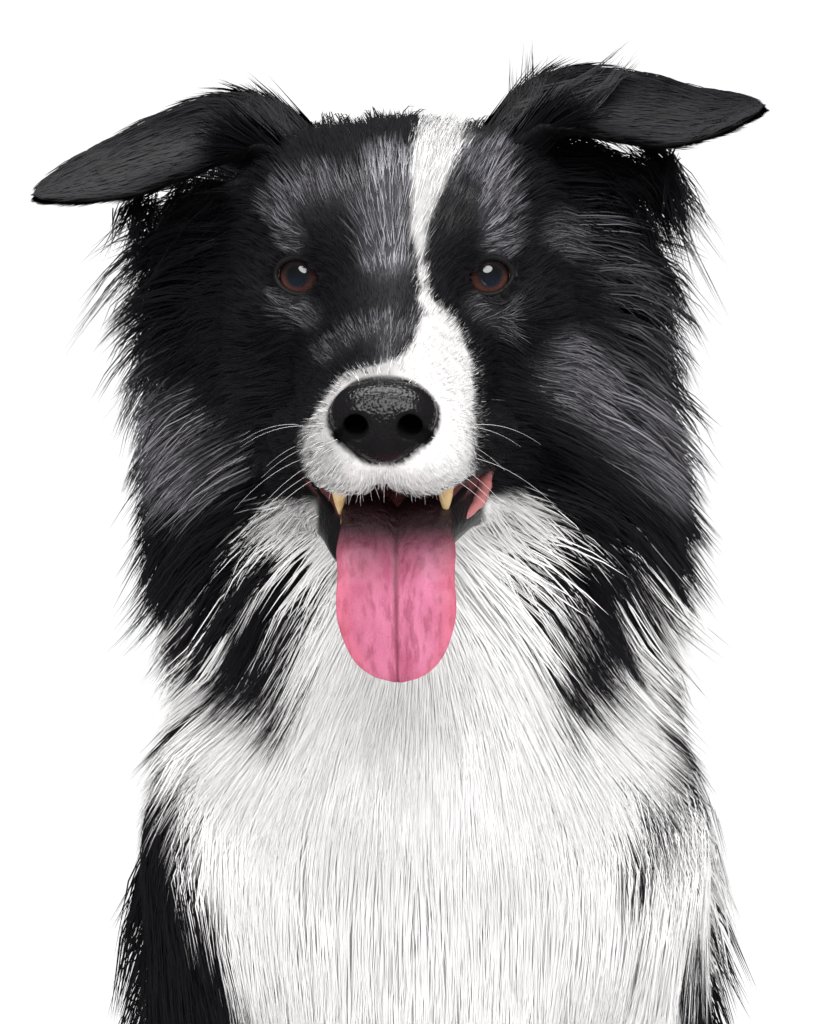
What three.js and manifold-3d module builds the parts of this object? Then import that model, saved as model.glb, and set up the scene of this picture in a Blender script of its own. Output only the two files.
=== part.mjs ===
// A sitting sheepdog with a long black and white coat, at life size, in millimetres.
// +Z is up, the dog faces -Y and its left side is +X. Its flesh is one smooth body, a blend of tapered
// limbs and rounded muscles, parted by thin cuts into head, neck, chest, trunk, legs and tail. Flat,
// tapered locks of coat grow from it along the lie of the hair.
import * as THREE from "three";
import { ConvexGeometry } from "three/addons/geometries/ConvexGeometry.js";
import { mergeVertices } from "three/addons/utils/BufferGeometryUtils.js";
import Module from "manifold-3d";

const wasm = await Module();
wasm.setup();

// ---------------------------------------------------------------- driving dimensions
const EYE_LEVEL = 572; // floor to the line of the eyes
const EYE_REACH = 165; // how far the eyes stand in front of the withers
const EYE_OFFSET = -12; // the head is carried a little to the dog's right
const HEAD_YAW = -2; // degrees, towards the dog's right
const EYE_SPREAD = 33.5; // half of the distance between the pupils
const EYEBALL = 11; // radius
const LID_OPENING = [18, 13.5]; // width and height between the lids
const EAR_WIDTHS = [[0, 25], [0.25, 27], [0.5, 23], [0.75, 16], [1, 3]]; // half-width along the ear
// The middle line of each ear, and the root, tip and width of the wisps on top of it and of the fringe
// below it, from the point midway between the eyes.
const EARS = {
  right: {
    path: [[38, 66, 32], [60, 68, 50], [84, 58, 47], [110, 46, 40], [137, 36, 33]],
    wisps: [[[52, 70, 50], [62, 72, 73], 13]],
    fringe: [[[50, 82, 24], [110, 84, 16], 26], [[52, 76, 34], [100, 78, 34], 22]],
  },
  left: {
    path: [[38, 66, 32], [60, 68, 57], [86, 58, 60], [112, 46, 61], [140, 36, 67]],
    wisps: [[[48, 70, 52], [57, 72, 87], 14], [[62, 68, 58], [92, 70, 84], 15]],
    fringe: [[[50, 82, 22], [112, 84, 14], 26], [[52, 76, 34], [116, 80, 33], 28]],
  },
};
const GAP = 0.3; // between neighbouring nodes
const GROWN = 0.4; // growth of a lock that its neighbours are cut clear of
const LOCK_SIDE = 10; // a grown lock is this many times wider at each side, as its edges are thin
const FLOOR_ROOM = 0.8; // between the floor and the lowest lock
const LAYER = 4; // every second lock lies this much higher
const CHEEK_ROWS = [ // place along the head, and turns from level, of the locks behind each cheek
  [88, [34, 14, -6, -26]],
  [66, [28, 8, -14, -36, -57]],
];
const SIDES = { right: -1, left: 1 };

const vec = (x, y, z) => new THREE.Vector3(x, y, z);
const rad = THREE.MathUtils.degToRad;
const mix = THREE.MathUtils.lerp;
const clamp = THREE.MathUtils.clamp;

// Places on the head are given from the point midway between the eyes.
const HEAD = new THREE.Matrix4()
  .makeRotationZ(rad(HEAD_YAW))
  .setPosition(EYE_OFFSET, -EYE_REACH, EYE_LEVEL);
const onHead = (x, y, z) => vec(x, y, z).applyMatrix4(HEAD);

// ---------------------------------------------------------------- the body as a blend of lumps
// Each lump knows its distance function, the thickness of short coat or coat core over it (fur), and how
// softly it melts into the rest (soft).

// A tapered capsule from a to b.
function limb(a, b, ra, rb, fur, soft) {
  const ba = b.clone().sub(a);
  const l2 = ba.lengthSq();
  const rr = ra - rb;
  const a2 = l2 - rr * rr;
  const distance = (x, y, z) => {
    const px = x - a.x, py = y - a.y, pz = z - a.z;
    const along = px * ba.x + py * ba.y + pz * ba.z;
    const past = along - l2;
    const vx = px * l2 - ba.x * along, vy = py * l2 - ba.y * along, vz = pz * l2 - ba.z * along;
    const x2 = vx * vx + vy * vy + vz * vz;
    const y2 = along * along * l2, z2 = past * past * l2;
    const k = Math.sign(rr) * rr * rr * x2;
    if (Math.sign(past) * a2 * z2 > k) return Math.sqrt(x2 + z2) / l2 - rb;
    if (Math.sign(along) * a2 * y2 < k) return Math.sqrt(x2 + y2) / l2 - ra;
    return (Math.sqrt((x2 * a2) / l2) + along * rr) / l2 - ra;
  };
  return { distance, fur, soft };
}

// An ellipsoid with radii r, tipped about X by tip degrees (nose down is positive for a head-down tilt).
function muscle(c, r, fur, soft, tip = 0) {
  const co = Math.cos(rad(tip)), si = Math.sin(rad(tip));
  const distance = (x, y, z) => {
    const px = x - c.x;
    const py = (y - c.y) * co + (z - c.z) * si;
    const pz = -(y - c.y) * si + (z - c.z) * co;
    const k0 = Math.hypot(px / r[0], py / r[1], pz / r[2]);
    const k1 = Math.hypot(px / r[0] ** 2, py / r[1] ** 2, pz / r[2] ** 2) + 1e-9;
    return (k0 * (k0 - 1)) / k1;
  };
  return { distance, fur, soft };
}

const both = (make) => [SIDES.right, SIDES.left].flatMap((s) => make(s));

// Skull, face and upper jaw.
function headLumps() {
  return [
    muscle(onHead(0, 60, 9), [47, 64, 43], 8, 0), // braincase
    muscle(onHead(0, 20, 15), [35, 33, 30], 6, 12), // forehead
    limb(onHead(0, 2, -12), onHead(0, -78, -44), 25, 13.5, 3, 12), // bridge of the muzzle
    ...both((s) => [
      muscle(onHead(s * 25, 9, 17), [16, 14, 11], 5, 8), // brow
      muscle(onHead(s * 36, 62, 20), [22, 40, 26], 8, 14), // temple
      muscle(onHead(s * 42, 38, -12), [18, 36, 19], 6, 14), // cheekbone
      muscle(onHead(s * 40, 52, -38), [20, 34, 30], 9, 16), // jaw muscle
      muscle(onHead(s * 46, 84, 2), [24, 24, 40], 14, 14), // coat core below the ear
      limb(onHead(s * 12, 0, -34), onHead(s * 11, -70, -54), 22, 15, 3, 10), // side of the muzzle
      muscle(onHead(s * 13, -73, -58), [15, 20, 15], 3, 6), // whisker pad
      limb(onHead(s * 19, -62, -62), onHead(s * 33, -8, -58), 8, 10, 3, 6), // hanging lip
    ]),
  ];
}

// Nape, throat and the thick coat of the ruff at either side.
const neckLumps = () => [
  limb(onHead(0, 84, -8), vec(0, -58, 430), 48, 48, 38, 22),
  limb(onHead(0, 40, -52), vec(0, -92, 410), 34, 48, 30, 20),
  ...both((s) => [limb(onHead(s * 46, 86, -22), vec(s * 34, -74, 440), 30, 36, 22, 22)]),
];

// Trunk, legs and tail.
const WITHERS = vec(0, -4, 482);
const CROUP = vec(0, 262, 150);
const TAIL_PATH = [vec(0, 272, 72), vec(2, 322, 38), vec(14, 380, 27), vec(46, 434, 24), vec(94, 470, 22),
  vec(150, 482, 19)];
const JOINTS = {
  shoulder: [58, -114, 356],
  elbow: [68, -62, 262],
  wrist: [58, -94, 88],
  knuckle: [57, -114, 34],
  toes: [57, -142, 16],
  hip: [58, 214, 160],
  knee: [102, 62, 190],
  hock: [98, 226, 26],
  hindKnuckle: [104, 96, 19],
  hindToes: [106, 62, 15],
};
const joint = (name, s) => vec(s * JOINTS[name][0], JOINTS[name][1], JOINTS[name][2]);

function bodyLumps() {
  return [
    muscle(vec(0, -52, 352), [74, 88, 96], 18, 30, -30), // ribs, front
    muscle(vec(0, 34, 330), [82, 104, 88], 14, 30, -42), // ribs, rear
    limb(WITHERS.clone().add(vec(0, 22, -34)), vec(0, 196, 214), 34, 44, 14, 30), // back
    muscle(vec(0, 132, 252), [72, 92, 74], 13, 30, -45), // loin and belly
    muscle(CROUP.clone().add(vec(0, -46, -54)), [80, 82, 92], 12, 30), // rump
    limb(vec(0, -126, 388), vec(0, -104, 300), 34, 40, 22, 26), // breastbone
    ...both((s) => [
      limb(joint("shoulder", s), vec(s * 26, -6, 462), 33, 24, 14, 24), // shoulder blade
      limb(joint("shoulder", s), joint("elbow", s), 34, 30, 14, 18), // upper arm
      limb(joint("elbow", s), joint("wrist", s), 25, 16, 6, 12),
      limb(joint("wrist", s), joint("knuckle", s), 17, 18, 4, 8),
      muscle(vec(s * 85, 178, 132), [52, 84, 84], 13, 24, -20), // haunch
      limb(joint("hip", s), joint("knee", s), 56, 41, 12, 22), // thigh
      limb(joint("knee", s), joint("hock", s), 36, 19, 9, 16), // second thigh
      limb(joint("hock", s), joint("hindKnuckle", s), 17, 17, 4, 10),
      ...paw(joint("knuckle", s), joint("toes", s), s),
      ...paw(joint("hindKnuckle", s), joint("hindToes", s), s),
    ]),
    ...tailLumps(),
  ];
}

// Four toes spread in a low arch in front of the pad.
function paw(knuckle, toes, s) {
  const lumps = [muscle(knuckle.clone().lerp(toes, 0.35).setZ(17), [23, 26, 17], 3, 8)];
  for (const spread of [-1.5, -0.5, 0.5, 1.5]) {
    const centre = toes.clone().add(vec(spread * 11 * s, Math.abs(spread) * 9 - 6, -3));
    lumps.push(muscle(centre, [7.5, 14, 11.5], 2.5, 4));
  }
  return lumps;
}

function tailLumps() {
  const radii = [26, 19, 15, 12.5, 10.5, 8];
  return TAIL_PATH.slice(1).map((p, i) => limb(TAIL_PATH[i], p, radii[i], radii[i + 1], 5, 8));
}

// Lower jaw and chin, dropped open.
function jawLumps() {
  return [
    muscle(onHead(0, -50, -95), [15, 15, 10], 3, 8),
    limb(onHead(0, -40, -92), onHead(0, 34, -80), 13, 26, 6, 12),
    ...both((s) => [
      limb(onHead(s * 11, -50, -91), onHead(s * 27, 6, -74), 9, 13, 3, 8),
      limb(onHead(s * 27, 6, -74), onHead(s * 34, 48, -58), 13, 18, 6, 10),
    ]),
  ];
}

// The blended distance to a set of lumps, less their coat.
class Flesh {
  constructor(lumps) {
    this.lumps = lumps;
  }
  at(x, y, z) {
    let d = 1e9;
    let weights = 0;
    let fur = 0;
    for (const lump of this.lumps) {
      const own = lump.distance(x, y, z);
      const w = 1 / (Math.max(own, 0) + 5) ** 3;
      weights += w;
      fur += w * lump.fur;
      const k = lump.soft;
      const h = k > 0 ? Math.max(k - Math.abs(d - own), 0) / k : 0;
      d = Math.min(d, own) - (h * h * k) / 4;
    }
    return d - fur / weights;
  }
  distance(p) {
    return this.at(p.x, p.y, p.z);
  }
  // The outward direction at p.
  normal(p) {
    const e = 0.5;
    return vec(
      this.at(p.x + e, p.y, p.z) - this.at(p.x - e, p.y, p.z),
      this.at(p.x, p.y + e, p.z) - this.at(p.x, p.y - e, p.z),
      this.at(p.x, p.y, p.z + e) - this.at(p.x, p.y, p.z - e),
    ).normalize();
  }
  // Where a ray from inside leaves the flesh, no further than reach.
  surface(from, way, reach, level = 0) {
    let t = 0;
    while (t < reach) {
      const d = this.at(from.x + way.x * t, from.y + way.y * t, from.z + way.z * t) - level;
      if (d > -0.02) break;
      t += Math.max(-d * 0.85, 0.05);
    }
    return from.clone().addScaledVector(way, Math.min(t, reach));
  }
}
const HEAD_LUMPS = headLumps();
const [NAPE, THROAT, ...RUFF] = neckLumps();
const BODY = new Flesh([...HEAD_LUMPS, NAPE, THROAT, ...RUFF, ...bodyLumps()]);
const UPPER_HEAD = new Flesh([...HEAD_LUMPS, NAPE, ...RUFF]);
const JAW = new Flesh([...jawLumps(), THROAT]);
const TAIL = new Flesh(tailLumps());

// ---------------------------------------------------------------- closed surfaces
// A closed solid from rings of equal count, with a tip at each end.
function shellFrom(rings, first, last) {
  const n = rings[0].length;
  const points = [...rings.flat(), first, last];
  const index = [];
  for (let i = 0; i + 1 < rings.length; i++)
    for (let j = 0; j < n; j++) {
      const a = i * n + j;
      const b = i * n + ((j + 1) % n);
      index.push(a, b, a + n, b, b + n, a + n);
    }
  const end = (rings.length - 1) * n;
  for (let j = 0; j < n; j++) {
    const k = (j + 1) % n;
    index.push(points.length - 2, k, j, points.length - 1, end + j, end + k);
  }
  return solidOf(points, index);
}

function solidOf(points, index) {
  let volume = 0;
  for (let i = 0; i < index.length; i += 3) {
    const [a, b, c] = [points[index[i]], points[index[i + 1]], points[index[i + 2]]];
    volume += a.dot(vec(0, 0, 0).crossVectors(b, c));
  }
  const mesh = new wasm.Mesh({
    numProp: 3,
    vertProperties: new Float32Array(points.flatMap((p) => [p.x, p.y, p.z])),
    triVerts: new Uint32Array(volume < 0 ? index.slice().reverse() : index),
  });
  return new wasm.Manifold(mesh);
}

// A three.js geometry as a solid.
function solidFrom(geometry, matrix) {
  const bare = geometry.index ? geometry.toNonIndexed() : geometry.clone();
  const placed = new THREE.BufferGeometry().setAttribute("position", bare.getAttribute("position"));
  if (matrix) placed.applyMatrix4(matrix);
  const merged = mergeVertices(placed, 1e-4);
  const mesh = new wasm.Mesh({
    numProp: 3,
    vertProperties: merged.attributes.position.array,
    triVerts: new Uint32Array(merged.index.array),
  });
  return new wasm.Manifold(mesh);
}

const joined = (solids) => solids.reduce((whole, one) => whole.add(one));
const largest = (solid) => solid.decompose().sort((a, b) => b.volume() - a.volume())[0];
const rebuilt = (solid) => new wasm.Manifold(solid.getMesh());

// The half-space on the side of the plane that way points to.
function beyond(point, way) {
  const size = 3000;
  const out = way.clone().normalize();
  const turn = new THREE.Quaternion().setFromUnitVectors(vec(0, 0, 1), out);
  const middle = point.clone().addScaledVector(out, size / 2);
  const matrix = new THREE.Matrix4().compose(middle, turn, vec(1, 1, 1));
  return solidFrom(new THREE.BoxGeometry(size, size, size), matrix);
}

// The way that leaves an axis at an angle: 0 is the dog's left, 90 its back and -90 its front or underside.
function wayOut(tangent, degrees) {
  const back = vec(0, 0, 0).crossVectors(vec(1, 0, 0), tangent).normalize();
  const side = vec(0, 0, 0).crossVectors(tangent, back);
  return side.multiplyScalar(Math.cos(rad(degrees))).addScaledVector(back, Math.sin(rad(degrees)));
}

// A rounded solid whose skin is found by rays from an axis: a fan of rays over each end, and square to the
// axis between them.
function fleshAlong(flesh, points, { rings, sides, fan = 3, reach = 400, level = 0 }) {
  const axis = new THREE.CatmullRomCurve3(points);
  const ringOf = (centre, tangent, tilt) =>
    Array.from({ length: sides }, (_, j) => {
      const way = wayOut(tangent, ((j + 0.5) / sides) * 360);
      way.multiplyScalar(Math.cos(tilt)).addScaledVector(tangent, Math.sin(tilt));
      return flesh.surface(centre, way, reach, level);
    });
  const [start, end] = [axis.getPointAt(0), axis.getPointAt(1)];
  const [startWay, endWay] = [axis.getTangentAt(0), axis.getTangentAt(1)];
  const tilts = Array.from({ length: fan }, (_, i) => ((i + 1) / (fan + 1)) * (Math.PI / 2));
  const loft = [
    ...tilts.toReversed().map((tilt) => ringOf(start, startWay, -tilt)),
    ...Array.from({ length: rings }, (_, i) => i / (rings - 1)).map((u) =>
      ringOf(axis.getPointAt(u), axis.getTangentAt(u), 0)),
    ...tilts.map((tilt) => ringOf(end, endWay, tilt)),
  ];
  const first = flesh.surface(start, startWay.clone().negate(), reach, level);
  const last = flesh.surface(end, endWay, reach, level);
  return shellFrom(loft, first, last);
}

// A section carried along a path. section(u) gives points as [across, outward], and across(u) the
// section's own X.
function sweep(path, stations, section, across, tips) {
  const curve = new THREE.CatmullRomCurve3(path);
  const rings = Array.from({ length: stations }, (_, i) => {
    const u = mix(tips[0], tips[1], i / (stations - 1));
    const centre = curve.getPointAt(u);
    const tangent = curve.getTangentAt(u);
    const outward = vec(0, 0, 0).crossVectors(tangent, across(u)).normalize();
    const side = vec(0, 0, 0).crossVectors(outward, tangent);
    return section(u).map(([x, y]) =>
      centre.clone().addScaledVector(side, x).addScaledVector(outward, y));
  });
  return shellFrom(rings, curve.getPointAt(0), curve.getPointAt(1));
}

// ---------------------------------------------------------------- the cuts between the parts
const CUTS = {
  neck: { point: vec(0, -88, 524), way: vec(0, 0.67, -0.74) },
  chest: { point: vec(0, -76, 446), way: vec(0, 0.48, -0.88) },
  trunk: { point: vec(0, 88, 300), way: vec(0, 0.75, -0.66) },
  tail: { point: vec(0, 308, 50), way: vec(0, 0.86, -0.5) },
  tailTip: { point: TAIL_PATH[3], way: vec(0.66, 0.75, 0) },
  elbow: { point: vec(0, 0, 232), way: vec(0, 0, -1) },
  wrist: { point: vec(0, 0, 62), way: vec(0, 0, -1) },
  haunchTop: { point: vec(0, 0, 250), way: vec(0, 0, -1) },
  haunchRight: { point: vec(-60, 0, 0), way: vec(-1, 0, 0) },
  haunchLeft: { point: vec(60, 0, 0), way: vec(1, 0, 0) },
  hock: { point: vec(0, 0, 50), way: vec(0, 0, -1) },
};
const shifted = (cut, by) => cut.point.clone().addScaledVector(cut.way.clone().normalize(), by);
const before = (name) => beyond(shifted(CUTS[name], -GAP / 2), CUTS[name].way.clone().negate());
const after = (name) => beyond(shifted(CUTS[name], GAP / 2), CUTS[name].way);
const trimmed = (solid, ...regions) => regions.reduce((rest, region) => rest.intersect(region), solid);
const ABOVE_FLOOR = beyond(vec(0, 0, 0), vec(0, 0, 1));
const LOCKS_ABOVE = beyond(vec(0, 0, FLOOR_ROOM), vec(0, 0, 1));

// ---------------------------------------------------------------- flesh, node by node
// Each is a function of level, how far its skin is grown, so that a neighbour can be cut clear of it.
const NEAR = 0.5; // growth of a neighbour that leaves a gap of at least 0.3 on slanted faces

const flesh = {
  head: (level) => trimmed(
    fleshAlong(UPPER_HEAD, [onHead(0, 84, 2), onHead(0, 30, -4), onHead(0, -10, -24), onHead(0, -62, -46)],
      { rings: 21, sides: 28, fan: 4, reach: 120, level }),
    before("neck")),
  jaw: (level) => trimmed(
    fleshAlong(JAW, [onHead(0, 30, -80), onHead(0, -44, -98)], { rings: 9, sides: 16, reach: 80, level }),
    before("neck")),
  neck: (level) => trimmed(
    fleshAlong(BODY, [onHead(0, 60, -24), vec(0, -70, 500), vec(0, -62, 410)],
      { rings: 8, sides: 22, fan: 2, reach: 150, level }),
    after("neck"), before("chest")),
  chest: (level) => trimmed(
    fleshAlong(BODY, [vec(0, -80, 440), vec(0, -30, 380), vec(0, 50, 322)],
      { rings: 10, sides: 26, fan: 3, reach: 200, level }),
    after("chest"), before("trunk"), before("elbow")),
  trunk: (level) => trimmed(
    fleshAlong(BODY, [vec(0, 62, 322), vec(0, 150, 226), vec(0, 224, 112)],
      { rings: 11, sides: 24, fan: 4, reach: 180, level }),
    after("trunk"), before("tail"), ABOVE_FLOOR,
    before("haunchTop").add(trimmed(before("haunchRight"), before("haunchLeft")))),
};

function haunch(s, level) {
  const side = s < 0 ? "haunchRight" : "haunchLeft";
  const axis = [vec(s * 88, 208, 134), vec(s * 100, 86, 172)];
  return trimmed(fleshAlong(BODY, axis, { rings: 6, sides: 15, fan: 3, reach: 150, level }),
    after(side), after("haunchTop"), before("hock"));
}

function hindFoot(s, level) {
  const side = s < 0 ? "haunchRight" : "haunchLeft";
  const axis = [vec(s * 98, 222, 36), vec(s * 104, 96, 22), vec(s * 106, 66, 17)];
  return trimmed(fleshAlong(BODY, axis, { rings: 9, sides: 11, fan: 3, reach: 60, level }),
    after(side), after("hock"), ABOVE_FLOOR);
}

function foreleg(s, level) {
  const axis = [joint("elbow", s), joint("wrist", s), joint("knuckle", s)];
  return trimmed(fleshAlong(BODY, axis, { rings: 8, sides: 11, fan: 2, reach: 70, level }),
    after("elbow"), before("wrist"));
}

function forePaw(s, level) {
  const axis = [joint("wrist", s), joint("knuckle", s), joint("toes", s)];
  return trimmed(fleshAlong(BODY, axis, { rings: 8, sides: 13, fan: 3, reach: 50, level }),
    after("wrist"), ABOVE_FLOOR);
}

function tailLength(from, to) {
  const axis = TAIL_PATH.slice(from, to + 1);
  return trimmed(fleshAlong(BODY, axis, { rings: 7, sides: 10, fan: 2, reach: 60 }),
    after("tail"), ABOVE_FLOOR);
}

// ---------------------------------------------------------------- eyes, lids, nose, mouth, ears
// A ball of triangles round a place, all balls turned alike so that nested ones stay apart evenly.
const ball = (centre, radius) => {
  const matrix = new THREE.Matrix4().makeTranslation(centre.x, centre.y, centre.z);
  return solidFrom(new THREE.IcosahedronGeometry(radius, 2), matrix);
};
const eyeCentre = (s) => onHead(s * EYE_SPREAD, 8.5, 0);
const eyeball = (s, grow = 0) => ball(eyeCentre(s), EYEBALL + grow);

// The almond opening between the lids, as a rod along the gaze.
function lidOpening(s) {
  const [wide, high] = [(s * LID_OPENING[0]) / 2, LID_OPENING[1] / 2];
  const almond = new THREE.Shape();
  almond.moveTo(-wide, -0.8);
  almond.bezierCurveTo(-wide * 0.55, -high * 1.2, wide * 0.6, -high * 1.25, wide, 0.6);
  almond.bezierCurveTo(wide * 0.6, high * 1.3, -wide * 0.5, high * 1.3, -wide, -0.8);
  const rod = new THREE.ExtrudeGeometry(almond, { depth: 30, bevelEnabled: false, curveSegments: 7 });
  const gaze = new THREE.Euler(Math.PI / 2, 0, s * rad(9), "ZYX");
  return solidFrom(rod, new THREE.Matrix4().compose(
    eyeCentre(s), new THREE.Quaternion().setFromEuler(gaze), vec(1, 1, 1)));
}

function nosePad(grow = 0) {
  const pad = new Flesh([
    muscle(onHead(0, -88, -44), [16, 11, 11], 0, 0),
    ...both((s) => [muscle(onHead(s * 10, -89, -47), [8, 9.5, 9.5], 0, 6)]),
    muscle(onHead(0, -91, -56), [6, 6, 8], 0, 7),
  ]);
  return fleshAlong(pad, [onHead(0, -85, -47), onHead(0, -91, -49)],
    { rings: 3, sides: 16, fan: 3, reach: 40, level: grow });
}

// A comma-shaped nostril: a round hole with a slit that runs outwards from it.
function nostril(s) {
  const hole = new Flesh([
    limb(onHead(s * 7.6, -101, -46.5), onHead(s * 8.5, -91, -45), 3.4, 2.2, 0, 0),
    limb(onHead(s * 9, -100, -48.5), onHead(s * 17, -92, -50.5), 1.8, 0.9, 0, 2),
  ]);
  return fleshAlong(hole, [onHead(s * 8, -101, -46.8), onHead(s * 8.4, -94, -46)],
    { rings: 3, sides: 8, fan: 2, reach: 20 });
}

// A tooth or claw as a cone from its root to its tip along way.
function spike(root, way, length, radius) {
  const lean = way.clone().normalize();
  const turn = new THREE.Quaternion().setFromUnitVectors(vec(0, 1, 0), lean);
  const centre = root.clone().addScaledVector(lean, length / 2);
  const matrix = new THREE.Matrix4().compose(centre, turn, vec(1, 1, 1));
  return solidFrom(new THREE.ConeGeometry(radius, length, 7), matrix);
}
const upperTeeth = (grow = 0) => joined(both((s) =>
  [spike(onHead(s * 17.5, -66, -60), vec(s * 0.1, -0.1, -1), 24 + grow * 4, 3.6 + grow)]));
const lowerTeeth = () => joined(both((s) =>
  [spike(onHead(s * 13, -58, -98), vec(s * 0.2, -0.25, 1), 21, 3.2)]));

// The tongue lies in the mouth, folds over the lower lip and hangs: wide, grooved down the middle and round
// at the tip.
const TONGUE_PATH = [onHead(0, 14, -76), onHead(0, -30, -78), onHead(0, -61, -83), onHead(0, -75, -95),
  onHead(0, -81, -115), onHead(0, -80, -138)];
const TONGUE_SECTION = [[-1, 0], [-0.78, 0.85], [-0.3, 1], [0, 0.45], [0.3, 1], [0.78, 0.85], [1, 0],
  [0.7, -0.95], [0, -1.15], [-0.7, -0.95]];
function tongueSolid(grow = 0) {
  const section = (u) => {
    const round = Math.sqrt(Math.max(0, 1 - clamp((u - 0.8) / 0.2, 0, 1) ** 2));
    const half = mix(16, 20.5, clamp(u * 1.6, 0, 1)) * Math.max(round, 0.15) + grow;
    const thick = 3.2 * Math.max(round, 0.35) + grow;
    return TONGUE_SECTION.map(([x, y]) => [x * half, y * thick + 2.2 * x * x * round]);
  };
  return sweep(TONGUE_PATH, 13, section, () => vec(1, 0, 0), [0.02, 0.985]);
}

// An ear is a leaf rolled into a cup at its root, carried out to the side with its back up and its hollow
// below.
function earSolid(s, grow = 0) {
  const { path } = EARS[s < 0 ? "right" : "left"];
  const profile = new THREE.CatmullRomCurve3(EAR_WIDTHS.map(([u, w]) => vec(u, w, 0)));
  const section = (u) => {
    const half = profile.getPoint(u).y + grow;
    const roll = mix(1.45, 0.4, Math.min(1, u * 1.5));
    const arc = half / roll;
    const wall = mix(3.2, 1.6, u) + grow;
    const leaf = (t, r) => [r * Math.sin(t * roll), r * Math.cos(t * roll) - arc];
    const steps = [-1, -0.66, -0.33, 0, 0.33, 0.66, 1];
    const thin = (t) => wall * (1 - 0.55 * Math.abs(t));
    return [...steps.map((t) => leaf(t, arc + thin(t))),
      ...steps.toReversed().map((t) => leaf(t, arc - thin(t)))];
  };
  const across = (u) => {
    const lean = rad(mix(24, 46, u));
    return vec(0, Math.cos(lean), Math.sin(lean)).multiplyScalar(-s);
  };
  return sweep(path.map(([x, y, z]) => onHead(s * x, y, z)), 10, section, across, [0, 0.97]);
}

// Locks that stand out flat to the front, each between two places beside an ear.
function earLocks(s, kind, grow = 0) {
  return joined(EARS[s < 0 ? "right" : "left"][kind].map(([from, to, width]) => {
    const root = onHead(s * from[0], from[1], from[2]);
    const tip = onHead(s * to[0], to[1], to[2]);
    const way = tip.clone().sub(root).normalize();
    const normal = vec(0, -1, 0.2).addScaledVector(way, way.y - 0.2 * way.z).normalize();
    const stations = Array.from({ length: BLADE_STEPS + 1 }, (_, i) =>
      ({ at: root.clone().lerp(tip, i / BLADE_STEPS), normal, way }));
    return blade(stations, width, 4, grow);
  }));
}

// Four claws in front of the toes.
function claws(knuckle, toes, s) {
  return [-1.5, -0.5, 0.5, 1.5].map((spread) => {
    const root = toes.clone().add(vec(spread * 11 * s, Math.abs(spread) * 9 - 13, -5));
    return spike(root, vec(0, -1, -0.32), 16, 3);
  });
}

// ---------------------------------------------------------------- the coat
// Hair runs away from the nose over head and body, and hangs the more the further it is from the face.
const NOSE_TIP = onHead(0, -92, -46);
function lie(p) {
  const away = p.clone().sub(NOSE_TIP);
  const loose = THREE.MathUtils.smoothstep(away.length(), 130, 230);
  away.normalize();
  return vec(away.x * (1 - 0.75 * loose), away.y, away.z - 1.3 * loose);
}
const TAIL_CURVE = new THREE.CatmullRomCurve3(TAIL_PATH);
const tailAxis = Array.from({ length: 41 }, (_, i) =>
  ({ at: TAIL_CURVE.getPoint(i / 40), way: TAIL_CURVE.getTangent(i / 40) }));
const lieOfTail = (p) => {
  const near = tailAxis.reduce((a, b) => (a.at.distanceTo(p) < b.at.distanceTo(p) ? a : b));
  return near.way.clone().addScaledVector(p.clone().sub(near.at).normalize(), 0.35);
};

// Seeded random numbers from 0 to 1.
function seeded(seed) {
  let state = seed >>> 0;
  return () => {
    state = (state + 0x6d2b79f5) >>> 0;
    let t = Math.imul(state ^ (state >>> 15), 1 | state);
    t = (t + Math.imul(t ^ (t >>> 7), 61 | t)) ^ t;
    return ((t ^ (t >>> 14)) >>> 0) / 4294967296;
  };
}

// A flat, tapered blade along stations of place, outward normal and lengthwise way. Its section is a low
// triangle. A grown blade is a chain of convex pieces, so that it holds the plain one whole even where that
// folds.
const BLADE_STEPS = 4;
function blade(stations, width, thick, grow = 0) {
  const rings = stations.map(({ at, normal, way }, i) => {
    const u = i / BLADE_STEPS;
    const side = vec(0, 0, 0).crossVectors(normal, way).normalize();
    const half = (width / 2) * (1 - u ** 2.6) ** 0.8 + LOCK_SIDE * grow;
    const high = thick * (1 - 0.75 * u) * Math.sign(1 - u) + 2.2 * grow;
    const base = at.clone().addScaledVector(normal, -grow);
    return [base.clone().addScaledVector(side, -half), base.clone().addScaledVector(side, half),
      base.clone().addScaledVector(normal, high)];
  });
  const start = stations[0].at.clone().addScaledVector(stations[0].way, -1 - grow);
  if (!grow) return shellFrom(rings.slice(0, -1), start, stations.at(-1).at);
  const chain = [[start], ...rings];
  return joined(chain.slice(1).map((ring, i) => solidFrom(new ConvexGeometry([...chain[i], ...ring]))));
}

// A lock leaves the flesh at root, bends over and follows the lie of the coat, at a height over the flesh
// that goes from -LOCK_SINK to lift, and up to flare more at the tip.
const LOCK_SINK = 5;
function lock(skin, root, { length, width, thick, lift, flare, lieOf = lie }, grow = 0) {
  const stations = [];
  let place = root.clone();
  for (let i = 0; i <= BLADE_STEPS; i++) {
    const u = i / BLADE_STEPS;
    const normal = skin.normal(place).add(stations.at(-1)?.normal ?? vec(0, 0, 0)).normalize();
    const way = lieOf(place);
    way.addScaledVector(normal, -way.dot(normal)).normalize();
    const splay = flare * u ** 1.5;
    const height = mix(-LOCK_SINK, lift, THREE.MathUtils.smoothstep(u, 0, 0.5)) + splay;
    const at = place.clone().addScaledVector(normal, height - skin.distance(place));
    at.z = Math.max(at.z, FLOOR_ROOM + grow);
    stations.push({ at, normal, way });
    place = at.clone().addScaledVector(way, length / BLADE_STEPS);
  }
  return blade(stations, width, thick, grow);
}

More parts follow.
